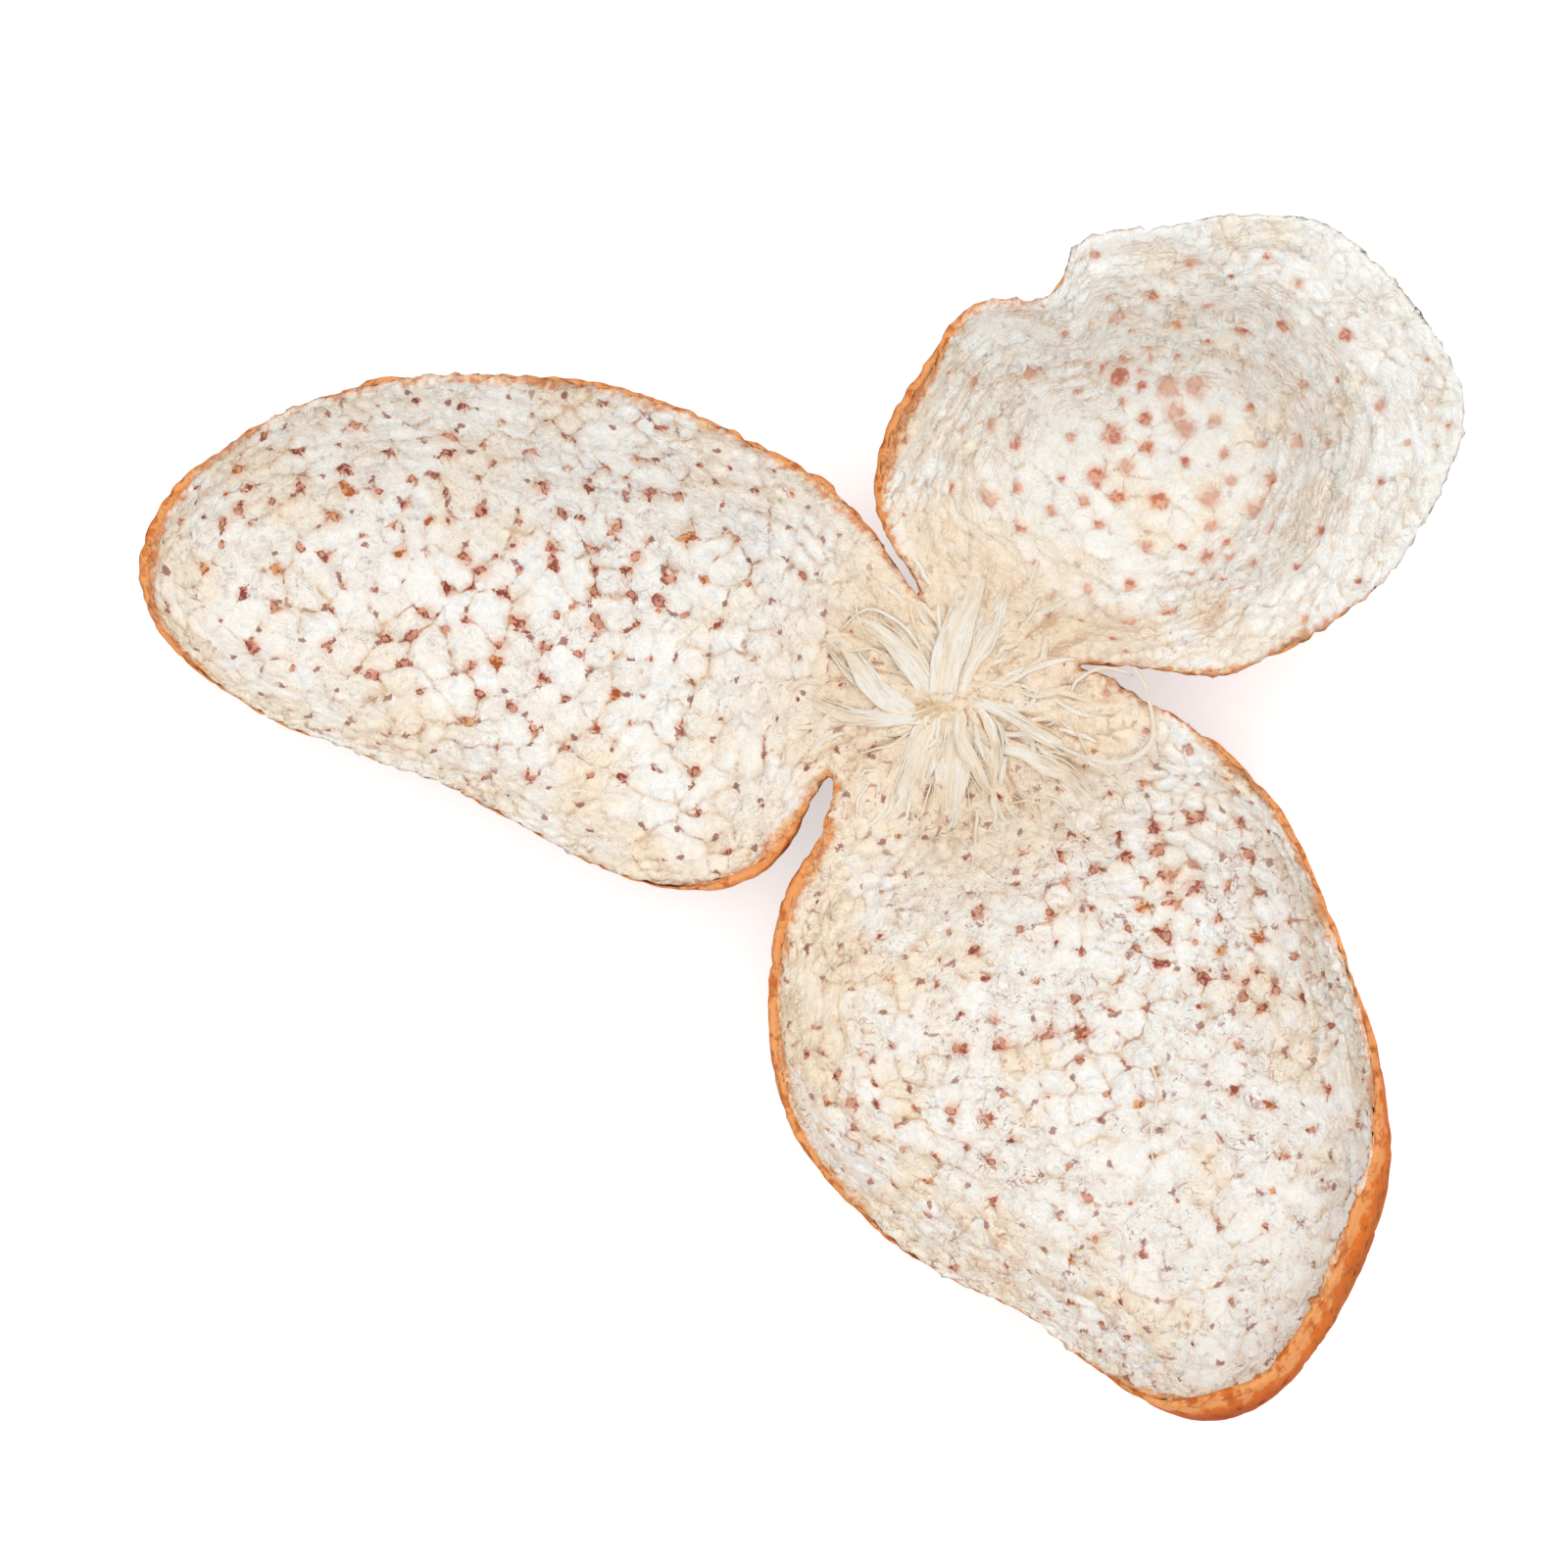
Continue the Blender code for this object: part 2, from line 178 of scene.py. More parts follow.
class Signal:
    """A node's output, which sums and products can be written with."""

    def __init__(self, graph, socket):
        self.graph = graph
        self.socket = socket

    def __add__(self, other):
        return self.graph.maths("ADD", self, other)

    def __sub__(self, other):
        return self.graph.maths("SUBTRACT", self, other)

    def __rsub__(self, other):
        return self.graph.maths("SUBTRACT", other, self)

    def __mul__(self, other):
        return self.graph.maths("MULTIPLY", self, other)

    def __truediv__(self, other):
        return self.graph.maths("DIVIDE", self, other)

    __radd__ = __add__
    __rmul__ = __mul__

    def clamped(self):
        """The value, kept between 0 and 1."""
        return self.graph.maths("MINIMUM", self.graph.maths("MAXIMUM", self, 0.0), 1.0)

    def ease(self, low, high):
        """0 where the value is at low, 1 where it is at high, and an S-curve between them."""
        settings = {"interpolation_type": "SMOOTHSTEP"}
        sockets = {"Value": self, "From Min": low, "From Max": high}
        return self.graph.node("ShaderNodeMapRange", settings, sockets)


class Graph:
    """A shader or geometry node tree that is filled from expressions."""

    def __init__(self, tree):
        self.tree = tree

    def node(self, kind, settings, sockets, output=0):
        """A new node: its settings are made first, then the values or links of its sockets."""
        made = self.tree.nodes.new(kind)
        for name, value in settings.items():
            setattr(made, name, value)
        for name, value in sockets.items():
            if isinstance(value, Signal):
                self.tree.links.new(value.socket, made.inputs[name])
            else:
                made.inputs[name].default_value = value
        return Signal(self, made.outputs[output])

    def maths(self, operation, first, second=0.0):
        return self.node("ShaderNodeMath", {"operation": operation}, {0: first, 1: second})

    def tint(self, share, first, second):
        """A colour between two colours."""
        sockets = {0: share, 6: first, 7: second}
        return self.node("ShaderNodeMix", {"data_type": "RGBA"}, sockets, 2)

    def coated(self, colour, *coats):
        """The colour under coats of (how much covers, its colour), each over those before it."""
        for share, coat in coats:
            colour = self.tint(share, colour, coat)
        return colour

    def moved(self, place, step, amount):
        """The place moved by a step, less one half on each axis, times an amount."""
        sockets = {0: step, 1: (0.5, 0.5, 0.5)}
        centred = self.node("ShaderNodeVectorMath", {"operation": "SUBTRACT"}, sockets)
        sockets = {0: centred, 1: (amount, amount, amount), 2: place}
        return self.node("ShaderNodeVectorMath", {"operation": "MULTIPLY_ADD"}, sockets)

    def noise(self, place, size, detail=2.0, roughness=0.5, distortion=0.0, output=0):
        """Soft noise with features of about this size."""
        sockets = {"Vector": place, "Scale": 1.0 / size, "Detail": detail}
        sockets |= {"Roughness": roughness, "Distortion": distortion}
        return self.node("ShaderNodeTexNoise", {}, sockets, output)

    def veins(self, place, *noise):
        """0 along thin winding lines, and up to about a half between them."""
        return self.maths("ABSOLUTE", self.noise(place, *noise) - 0.5)

    def cells(self, place, size, output=0):
        """The distance to the middle of a cell of about this size, or output 1, its colour."""
        return self.node("ShaderNodeTexVoronoi", {}, {"Vector": place, "Scale": 1.0 / size}, output)

    def random_of(self, place, size):
        """A number from 0 to 1 for each cell."""
        return self.node("ShaderNodeSeparateXYZ", {}, {0: self.cells(place, size, 1)})

    def stored(self, name, is_vector=False):
        """What the mesh keeps under this name at each point."""
        if self.tree.type == "GEOMETRY":
            settings = {"data_type": "FLOAT_VECTOR" if is_vector else "FLOAT"}
            return self.node("GeometryNodeInputNamedAttribute", settings, {"Name": name})
        settings = {"attribute_type": "GEOMETRY", "attribute_name": name}
        return self.node("ShaderNodeAttribute", settings, {}, 1 if is_vector else 2)


# ---------------- relief of the pith and the rind


# Where the pith starts to change towards the rim and the hub, and where it has changed.
TOWARDS_RIM = (7.0, 1.0)
TOWARDS_HUB = (19.0, 9.0)

# The crumbs' noise, for relief and colour: size, detail, roughness and distortion.
CRUMB_NOISE = (1.05, 2.0, 0.5, 0.7)

# How far from its border a cushion is full, and the relief's heights and depths.
CUSHION_SHOULDER = 0.95
CUSHION_HEIGHT = 0.52
PUFF_HEIGHT = 1.3
CRUMB_HEIGHT = 0.6
LUMP_HEIGHT = 0.5
FOLD_HEIGHT = 1.8
RAGGED_HEIGHT = 1.3
STREAK_HEIGHT = 2.3
MARK_DEPTH = 0.28

# The middle levels of the cushions and the veins, which the relief leaves in place.
CUSHION_MIDDLE = 0.7
VEIN_MIDDLE = 0.09

# The rind: the size of a gland's cell, and the heights and depths of its relief.
GLAND_CELL = 1.15
SWELL_HEIGHT = 0.8
CREASE_DEPTH = 0.16
PIT_DEPTH = 0.13
SCAR_DEPTH = 0.15
RIND_INSET = 0.05


def crumble(graph, geometry):
    """Geometry nodes that shape the pith, and keep the slow noises that it is coloured by, and its
    relief, whose low places the colour paints shade into.
    """
    place = graph.stored("place", True)
    rim = graph.stored("rim")
    crumbly = graph.stored("crumbly")
    wrinkled = graph.stored("wrinkled")
    near_rim = rim.ease(*TOWARDS_RIM)
    near_hub = graph.stored("hub").ease(*TOWARDS_HUB)

    # Cushions with V-shaped valleys between them.
    border = graph.stored("border") + (graph.noise(place, 0.7, 2.0) - 0.5) * 0.5
    inward = (border / CUSHION_SHOULDER).clamped()
    cushion = inward * (2.0 - inward)
    grooves = 0.3 + 0.8 * graph.noise(place, 4.5, 1.0).ease(0.42, 0.56)
    height = CUSHION_HEIGHT - 0.1 * crumbly - 0.15 * near_rim - 0.25 * near_hub
    relief = (cushion - CUSHION_MIDDLE) * height * grooves

    # Puffs, crumbs and lumps on the cushions, with calm stretches.
    puffs = graph.veins(place, 2.2, 1.0, 0.5, 0.9) - VEIN_MIDDLE
    crumbs = graph.veins(place, *CRUMB_NOISE) - VEIN_MIDDLE
    lumps = graph.noise(place, 1.5, 3.0, 0.6, 0.8) - 0.5
    calm = graph.noise(place, 5.0, 2.0).ease(0.47, 0.6)
    crumbling = puffs * (PUFF_HEIGHT + 0.7 * crumbly)
    crumbling = crumbling + crumbs * (CRUMB_HEIGHT + 0.2 * crumbly + 0.7 * near_rim)
    crumbling = crumbling + lumps * (LUMP_HEIGHT + 0.35 * near_rim)
    crumbling = crumbling * (1.0 - 0.25 * near_hub) * (1.0 - 0.35 * graph.stored("soft"))
    relief = relief + crumbling * (1.0 - 0.45 * calm)

    # Folds round the bowls' walls, a ragged torn edge, streaks out from the hub, sunken marks.
    folds = graph.noise(graph.stored("ring", True), 2.5, 2.0, 0.5, 0.6) - 0.5
    ragged = graph.noise(place, 0.9, 2.0, 0.6) - 0.5
    streaks = graph.noise(graph.stored("ray", True), 0.9, 3.0, 0.6, 0.5) - 0.5
    relief = relief + folds * wrinkled * FOLD_HEIGHT
    relief = relief + ragged * rim.ease(1.2, 0.0) * RAGGED_HEIGHT
    relief = relief + streaks * near_hub * STREAK_HEIGHT
    relief = relief - graph.stored("gland").ease(1.5, 0.4) * MARK_DEPTH
    relief = relief * graph.stored("side")

    # The relief's height, the streaks' and folds' relief and the grooves' depth are kept, so that
    # the colour can paint shade into the low places and along the borders.
    kept = (
        ("height", relief),
        ("broad", graph.noise(place, 9.0, 2.0)),
        ("patches", graph.noise(place, 2.1, 2.0)),
        ("grooves", grooves),
        ("calm", calm),
        ("streaks", streaks * near_hub + folds * wrinkled),
    )
    result = pushed(graph, geometry, relief * MM)
    for name, values in kept:
        sockets = {"Geometry": result, "Name": name, "Value": values}
        result = graph.node("GeometryNodeStoreNamedAttribute", {"data_type": "FLOAT"}, sockets)
    return result


def pushed(graph, geometry, height):
    """The geometry with its points moved along their normals, in metres."""
    normal = graph.node("GeometryNodeInputNormal", {}, {})
    step = graph.node("ShaderNodeVectorMath", {"operation": "SCALE"}, {0: normal, "Scale": height})
    return graph.node("GeometryNodeSetPosition", {}, {"Geometry": geometry, "Offset": step})


def rind_relief(graph, place):
    """The rind's skin: (oil gland pit, crease, relief)."""
    bent = graph.moved(place, graph.noise(place, 2.0, 1.0, output=1), 0.7)
    gland = graph.cells(bent, GLAND_CELL) * GLAND_CELL
    size = 0.22 + 0.24 * graph.random_of(bent, GLAND_CELL)
    pit = (gland / size).ease(1.25, 0.35)
    swells = graph.noise(place, 7.0, 3.0, 0.55, 0.4)
    crease = graph.veins(place, 5.5, 1.5, 0.5, 0.5).ease(0.05, 0.0)
    relief = (swells - 0.55) * SWELL_HEIGHT - crease * CREASE_DEPTH - pit * PIT_DEPTH
    return pit, crease, relief


def dimple(graph, geometry):
    """Geometry nodes that dent the rind's outer skin, but leave the spots that it rests on."""
    relief = rind_relief(graph, graph.stored("place", True))[2]
    relief = relief - graph.stored("hub").ease(3.2, 1.4) * SCAR_DEPTH
    height = (relief * graph.stored("free") - RIND_INSET) * graph.stored("side") * MM
    return pushed(graph, geometry, height)


def shaped_by(piece, filling):
    """The piece with its mesh pushed by a geometry tree, and the result applied."""
    tree = bpy.data.node_groups.new(piece.name + " relief", "GeometryNodeTree")
    tree.interface.new_socket("Geometry", in_out="INPUT", socket_type="NodeSocketGeometry")
    tree.interface.new_socket("Geometry", in_out="OUTPUT", socket_type="NodeSocketGeometry")
    graph = Graph(tree)
    start = graph.node("NodeGroupInput", {}, {})
    result = filling(graph, start)
    end = tree.nodes.new("NodeGroupOutput")
    tree.links.new(result.socket, end.inputs[0])
    modifier = piece.modifiers.new("relief", "NODES")
    modifier.node_group = tree
    applied(piece)


def applied(piece):
    """Makes what the piece's modifiers give its own mesh."""
    graph = bpy.context.evaluated_depsgraph_get()
    mesh = bpy.data.meshes.new_from_object(piece.evaluated_get(graph))
    piece.modifiers.clear()
    before = piece.data
    piece.data = mesh
    bpy.data.meshes.remove(before)


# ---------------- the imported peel's sides


def opened(mesh):
    """A bmesh of this mesh, to work on."""
    bm = bmesh.new()
    bm.from_mesh(mesh)
    return bm


def closed(bm, name):
    """The mesh that the finished bmesh makes."""
    mesh = bpy.data.meshes.new(name)
    bm.to_mesh(mesh)
    bm.free()
    return mesh


def mark_pith_side(bm):
    """Marks the faces reached from the top of the hub without crossing the torn edge's fold."""
    hub_faces = [f for f in bm.faces if (f.calc_center_median() - HUB).xy.length < HUB_PATCH]
    start = max(hub_faces, key=lambda f: f.calc_center_median().z)
    start.material_index = PITH_SIDE
    waiting = [start]
    while waiting:
        for edge in waiting.pop().edges:
            if edge.calc_face_angle() > FOLD_ANGLE:
                continue
            for other in edge.link_faces:
                if other.material_index != PITH_SIDE:
                    other.material_index = PITH_SIDE
                    waiting.append(other)


def mark_torn_edge(bm):
    """Marks the faces that touch the pith side, which are the torn edge's own."""
    for face in bm.faces:
        if face.material_index == RIND_SIDE:
            if any(PITH_SIDE in side_of(vert) for vert in face.verts):
                face.material_index = TORN_EDGE


def marked_peel():
    """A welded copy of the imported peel, its faces marked, and rounded by one subdivision."""
    bm = opened(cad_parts["peel"].data)
    bmesh.ops.remove_doubles(bm, verts=bm.verts[:], dist=WELD)
    for face in bm.faces:
        face.material_index = RIND_SIDE
        face.smooth = True
    mark_pith_side(bm)
    mark_torn_edge(bm)
    peel = linked("marked peel", closed(bm, "marked peel"))
    rounding = peel.modifiers.new("rounding", "SUBSURF")
    rounding.levels = 1
    rounding.render_levels = 1
    applied(peel)
    return peel


def linked(name, mesh):
    piece = bpy.data.objects.new(name, mesh)
    bpy.context.scene.collection.objects.link(piece)
    return piece


def side_of(vert):
    """The marks of the faces round a point."""
    return {face.material_index for face in vert.link_faces}


def divided(bm, mark, cuts):
    """Divides the edges of the faces with this mark, in a fixed order, and relaxes the points."""
    bm.edges.index_update()
    chosen = {edge.index for face in bm.faces if face.material_index == mark for edge in face.edges}
    edges = [edge for edge in bm.edges if edge.index in chosen]
    bmesh.ops.subdivide_edges(bm, edges=edges, cuts=cuts, use_grid_fill=True)
    inner = [vert for vert in bm.verts if side_of(vert) == {mark}]
    for _ in range(RELAXING_PASSES):
        bmesh.ops.smooth_vert(
            bm, verts=inner, factor=0.5, use_axis_x=True, use_axis_y=True, use_axis_z=True
        )


# ---------------- what is kept at each point


def read(items, field, width):
    """A row of this many numbers for each of a mesh's items."""
    flat = np.empty(len(items) * width, np.float32)
    items.foreach_get(field, flat)
    return flat.reshape(-1, width)


def points_of(mesh):
    """The mesh's points in millimetres from the hub."""
    return (read(mesh.vertices, "co", 3) - np.array(HUB)) / MM


def keep(mesh, name, values):
    """Stores one number or one vector for each point of the mesh."""
    kind, field = ("FLOAT_VECTOR", "vector") if values.ndim == 2 else ("FLOAT", "value")
    attribute = mesh.attributes.new(name, kind, "POINT")
    attribute.data.foreach_set(field, values.astype(np.float32).ravel())


def values_of(mesh, name):
    """The number that the mesh keeps under this name for each point."""
    return read(mesh.attributes[name].data, "value", 1)[:, 0]


def eased(values, low, high):
    """0 where the values are at low, 1 where they are at high, and an S-curve between them."""
    share = np.clip((values - low) / (high - low), 0.0, 1.0)
    return share * share * (3.0 - 2.0 * share)


def waver(*place):
    """Smooth noise between about -1 and 1."""
    return noise.noise(Vector(place))


def nearest(points, targets, count):
    """For each point, the distances to its nearest targets and which they are."""
    tree = kdtree.KDTree(len(targets))
    for i, target in enumerate(targets):
        tree.insert(target, i)
    tree.balance()
    found = [tree.find_n(point, count) for point in points]
    gaps = np.array([[hit[2] for hit in hits] for hits in found])
    which = np.array([[hit[1] for hit in hits] for hits in found])
    return gaps, which


def distance_to(points, targets):
    return nearest(points, targets, 1)[0][:, 0]


def rim_points(mesh):
    """Points of the torn edge, in millimetres from the hub."""
    on_edge = set()
    for face in mesh.polygons:
        if face.material_index == TORN_EDGE:
            on_edge.update(face.vertices)
    return points_of(mesh)[sorted(on_edge)]


def bowl_offsets(points):
    """For each bowl, each point's way from the bowl's middle in plan."""
    middles = []
    for azimuth, distance in BOWL_PLACES:
        angle = math.radians(azimuth)
        middles.append((distance * math.cos(angle), distance * math.sin(angle)))
    return points[None, :, :2] - np.array(middles)[:, None, :]


def bowl_value(points, values):
    """One number of each bowl, eased from bowl to bowl over the points."""
    reach = np.linalg.norm(bowl_offsets(points), axis=2)
    weights = np.exp(-((reach / BOWL_REACH) ** 2)) + 1e-9
    return np.array(values) @ weights / weights.sum(axis=0)


def ring_coordinate(points):
    """For each point, a coordinate that runs round its bowl's walls."""
    offsets = bowl_offsets(points)
    reach = np.linalg.norm(offsets, axis=2)
    mine = np.argmin(reach, axis=0)
    every = np.arange(len(points))
    unit = offsets[mine, every] / np.maximum(reach[mine, every], NO_DISTANCE)[:, None]
    rise = points[:, 2] * RING_RISE + mine * RINGS_APART
    return np.column_stack((unit * RING_RADIUS, rise))


def ray_coordinate(points, hub):
    """For each point, a coordinate that is stretched along the way out from the hub."""
    heading = points[:, :2] / np.maximum(hub, NO_DISTANCE)[:, None]
    return np.column_stack((heading * RAY_RADIUS, hub * RAY_STRETCH))


def zoned(points, zones):
    """The sum of what each zone adds at these points, fading away from the zone's middle."""
    total = np.zeros(len(points))
    for (x, y), spread, amount in zones:
        gap = np.hypot(points[:, 0] - x, points[:, 1] - y) / spread
        total += amount * np.exp(-(gap**2))
    return total


def keep_places(mesh, edge_points):
    """Stores where each point of a skin lies from the hub and from the torn edge."""
    points = points_of(mesh)
    keep(mesh, "place", points)
    keep(mesh, "rim", distance_to(points, edge_points))
    keep(mesh, "hub", np.linalg.norm(points[:, :2], axis=1))


def keep_zones(mesh):
    """Stores how the pith differs from place to place, and the coordinates of its folds."""
    points = points_of(mesh)
    hub = np.linalg.norm(points[:, :2], axis=1)
    steep = eased(1.0 - np.abs(read(mesh.vertices, "normal", 3)[:, 2]), 0.04, 0.35)
    keep(mesh, "bare", zoned(points, BARE_RIND))
    keep(mesh, "creamy", zoned(points, CREAM_FIELDS))
    keep(mesh, "stem", zoned(points, STEM_SPOT))
    keep(mesh, "ring", ring_coordinate(points))
    keep(mesh, "ray", ray_coordinate(points, hub))
    keep(mesh, "soft", bowl_value(points, SOFT))
    keep(mesh, "crumbly", bowl_value(points, CRUMBLY))
    keep(mesh, "wrinkled", bowl_value(points, WRINKLED) * steep * eased(hub, 10.0, 20.0))


def warped(points):
    """The points moved about by smooth noise, so that gaps between them run unevenly."""
    noise.seed_set(WARP_SEED)
    moves = []
    for point in points:
        move = Vector()
        for size, distance in WARPS:
            move += noise.noise_vector(Vector(point / size)) * distance
        moves.append(move)
    return points + np.array(moves)


def scattered(points, candidates, clearances, dice):
    """Some of the candidates, in random order, each clear of all that came before it."""
    order = list(candidates)
    dice.shuffle(order)
    chosen = []
    places = np.empty((len(order), 3))
    for index in order:
        gaps = places[: len(chosen)] - points[index]
        if np.all(np.einsum("ij,ij->i", gaps, gaps) > clearances[index] ** 2):
            places[len(chosen)] = points[index]
            chosen.append(index)
    return chosen


def keep_cushions(mesh, weights):
    """Stores where each point lies between the cushions, the gland marks and the specks."""
    dice = random.Random(CUSHION_SEED)
    points = points_of(mesh)
    rim = values_of(mesh, "rim")
    hub = values_of(mesh, "hub")
    near_rim = 1.0 - eased(rim, *RIM_CUSHIONS)
    near_hub = 1.0 - eased(hub, *HUB_CUSHIONS)

    # Cushions fill the top, small ones along the rim and round the hub.
    spots = warped(points)
    spots[:, 2] *= 1.0 + FOLD_SQUEEZE * values_of(mesh, "wrinkled")
    size = np.array([dice.uniform(*CUSHION_SPREAD) for _ in points])
    size = size * bowl_value(points, CUSHION_SIZE)
    size = size * (1.0 - 0.42 * near_rim) * (1.0 - 0.4 * near_hub)
    on_top = np.flatnonzero(weights > ON_TOP)
    tried = dice.sample(list(on_top), CUSHION_TRIES)
    middles = scattered(spots, tried, size, dice)
    gaps = nearest(spots, spots[middles], 3)[0]
    keep(mesh, "border", (gaps[:, 1] - gaps[:, 0]) / 2.0)

    # Gland marks lie where cushions meet.
    inside = (weights > ON_TOP) & (rim > RIM_CLEARANCE) & (hub > HUB_CLEARANCE)
    at_corner = np.flatnonzero((gaps[:, 2] - gaps[:, 0] < CORNER_WIDTH) & inside)
    thickly = np.minimum(zoned(points, MARK_FIELDS), 1.0)
    room = bowl_value(points, MARK_ROOM) * (1.9 - 0.9 * thickly) * (1.0 + 0.35 * near_rim)
    room *= np.array([dice.uniform(0.8, 1.4) + 0.6 * waver(*(p / 9.0)) for p in points])
    marks = scattered(points, at_corner, room, dice)
    sizes = np.array([0.36 + 0.66 * dice.random() ** 1.6 for _ in marks])
    sizes *= bowl_value(points, MARK_SIZE)[marks] * (0.6 + 0.4 * thickly[marks])
    sizes *= 1.0 - 0.25 * near_rim[marks] - 0.35 * near_hub[marks]
    kinds = np.array([dice.random() for _ in marks])
    distances, which = nearest(points, points[marks], 1)
    keep(mesh, "gland", distances[:, 0] / sizes[which[:, 0]])
    keep(mesh, "gland_kind", kinds[which[:, 0]])

    # Specks lie along their borders.
    on_border = np.flatnonzero((gaps[:, 1] - gaps[:, 0] < BORDER_WIDTH) & inside)
    room = np.array([dice.uniform(*SPECK_ROOM) for _ in points])
    specks = scattered(points, on_border, room, dice)
    keep(mesh, "speck", distance_to(points, points[specks]))


# ---------------- the two skins


def make_pith(peel, edge_points):
    """The pith: a fine crumbly top, its torn edge, and a hidden underside inside the rind."""
    bm = opened(peel.data)
    divided(bm, PITH_SIDE, PITH_CUTS)
    bm.normal_update()
    weights = []
    for vert in bm.verts:
        marks = side_of(vert)
        if RIND_SIDE in marks:
            vert.co -= vert.normal * PITH_SETBACK * MM
        weights.append(1.0 if PITH_SIDE in marks else 0.0 if RIND_SIDE in marks else 0.5)
    weights = np.array(weights)
    mesh = closed(bm, "pith")
    keep(mesh, "side", weights)
    keep_places(mesh, edge_points)
    keep_zones(mesh)
    keep_cushions(mesh, weights)
    pith = linked("pith", mesh)
    shaped_by(pith, crumble)
    return pith


def edge_reach(place, bare):
    """How far the rind stands out beyond the torn pith here."""
    reach = bare + EDGE_STEP
    for size, layer, distance in EDGE_WAVES:
        reach += distance * waver(place.x / size, place.y / size, layer)
    return max(EDGE_RETREAT, reach)


def leave_rind(bm):
    """Takes the pith side and the torn edge away, and moves the border that is left in or out."""
    outward = {}
    for face in bm.faces:
        if face.material_index == TORN_EDGE:
            for vert in face.verts:
                outward[vert] = outward.get(vert, Vector()) + face.normal
    removed = [face for face in bm.faces if face.material_index != RIND_SIDE]
    bmesh.ops.delete(bm, geom=removed, context="FACES")
    border = [vert for vert in bm.verts if vert.is_boundary]
    places = [(vert.co - HUB) / MM for vert in border]
    for vert, place, bare in zip(border, places, zoned(np.array(places), BARE_RIND)):
        vert.co += outward[vert].normalized() * edge_reach(place, bare) * MM


def rind_thickness(verts, edge_points):
    """The rind's thickness at each point: it thins towards the edges that the pith covers."""
    points = np.array([(vert.co - HUB) / MM for vert in verts])
    away = eased(distance_to(points, edge_points), 0.3, 2.5)
    bare = zoned(points, BARE_RIND)
    full = np.maximum(away, eased(bare, -0.1, 0.3))
    swollen = 0.5 * np.maximum(bare, 0.0) * (1.0 - away)
    return (THIN_RIND + (RIND_THICKNESS - THIN_RIND) * full + swollen).tolist()


def add_inner_wall(bm, edge_points):
    """Gives the rind's skin an inner wall, closed at the border: the inner wall's points."""
    inner = bmesh.ops.duplicate(bm, geom=bm.faces[:])["geom"]
    inner_faces = [item for item in inner if isinstance(item, bmesh.types.BMFace)]
    inner_verts = [item for item in inner if isinstance(item, bmesh.types.BMVert)]
    for vert, thickness in zip(inner_verts, rind_thickness(inner_verts, edge_points)):
        vert.co -= vert.normal * thickness * MM
    bmesh.ops.reverse_faces(bm, faces=inner_faces)
    bmesh.ops.bridge_loops(bm, edges=[edge for edge in bm.edges if edge.is_boundary])
    return set(inner_verts)


def make_rind(peel, edge_points):
    """The rind: a thin shell under the pith, whose torn edge stands out beside it."""
    bm = opened(peel.data)
    bm.normal_update()
    leave_rind(bm)
    divided(bm, RIND_SIDE, RIND_CUTS)
    bm.normal_update()
    hidden = add_inner_wall(bm, edge_points)
    weights = np.array([0.0 if vert in hidden else 1.0 for vert in bm.verts])
    heights = np.array([vert.co.z for vert in bm.verts])
    mesh = closed(bm, "rind")
    keep(mesh, "side", weights)
    keep(mesh, "free", eased(heights, 0.0, RESTING_HEIGHT * MM))
    keep_places(mesh, edge_points)
    rind = linked("rind", mesh)
    shaped_by(rind, dimple)
    return rind


# ---------------- materials


# Colours of the three kinds of gland mark, and of the flecks in them.
DARK_MARK = (rgb(142, 64, 54), rgb(222, 158, 132))
ORANGE_MARK = (rgb(180, 92, 50), rgb(230, 176, 124))
SOFT_MARK = (rgb(200, 104, 76), rgb(230, 162, 128))


def new_material(name, roughness, specular):
    material = bpy.data.materials.new(name)
    material.use_nodes = True
    shader = material.node_tree.nodes["Principled BSDF"]
    shader.inputs["Roughness"].default_value = roughness
    shader.inputs["Specular IOR Level"].default_value = specular
    return material, Graph(material.node_tree), shader


def paint(graph, shader, colour, height, strength, distance):
    """Gives the shader its colour, and a bump from a height in metres."""
    sockets = {"Strength": strength, "Distance": distance, "Height": height}
    bump = graph.node("ShaderNodeBump", {}, sockets)
    graph.tree.links.new(colour.socket, shader.inputs["Base Color"])
    graph.tree.links.new(bump.socket, shader.inputs["Normal"])


class Pith:
    """What the coats of the pith's colour are worked out from."""

    def __init__(self, graph):
        for name in ("rim", "bare", "soft", "crumbly", "broad", "patches", "calm"):
            setattr(self, name, graph.stored(name))
        self.place = graph.stored("place", True)
        self.near_rim = self.rim.ease(*TOWARDS_RIM)
        self.near_hub = graph.stored("hub").ease(21.0, 9.0)
        self.ragged = graph.noise(self.place, 0.5, 3.0, 0.7) - 0.5
        self.torn = graph.noise(self.place, 0.8, 1.5, 0.55, 0.4) - 0.5
        self.wisps = graph.noise(self.place, 1.6, 3.0, 0.6, 1.8)
        self.crumbs = graph.veins(self.place, *CRUMB_NOISE)
        self.border = graph.stored("border") + self.ragged * 0.3
        self.uneven = self.patches + self.ragged * 0.3


def clean_pith(graph, pith):
    """White cushions with grey shades, creamier towards the torn edge and the hub."""
    cream = pith.near_rim * (0.35 - 0.25 * pith.soft) + pith.near_hub * 0.9
    cream = cream + pith.broad.ease(0.46, 0.66) * (0.5 + 0.25 * pith.crumbly)
    cream = (cream + graph.stored("creamy") - pith.calm * 0.5).clamped()
    grey = (pith.wisps + pith.ragged * 0.3).ease(0.5, 0.66) * (1.0 - 0.7 * cream)
    shade = graph.tint(pith.calm, rgb(224, 221, 216), rgb(226, 229, 230))
    return graph.coated(
        graph.tint(pith.soft, rgb(248, 248, 245), rgb(247, 248, 245)),
        (cream, rgb(252, 238, 216)),
        (grey * (0.7 - 0.45 * pith.soft), shade),
        (pith.near_hub * 0.5, rgb(241, 214, 184)),
    )


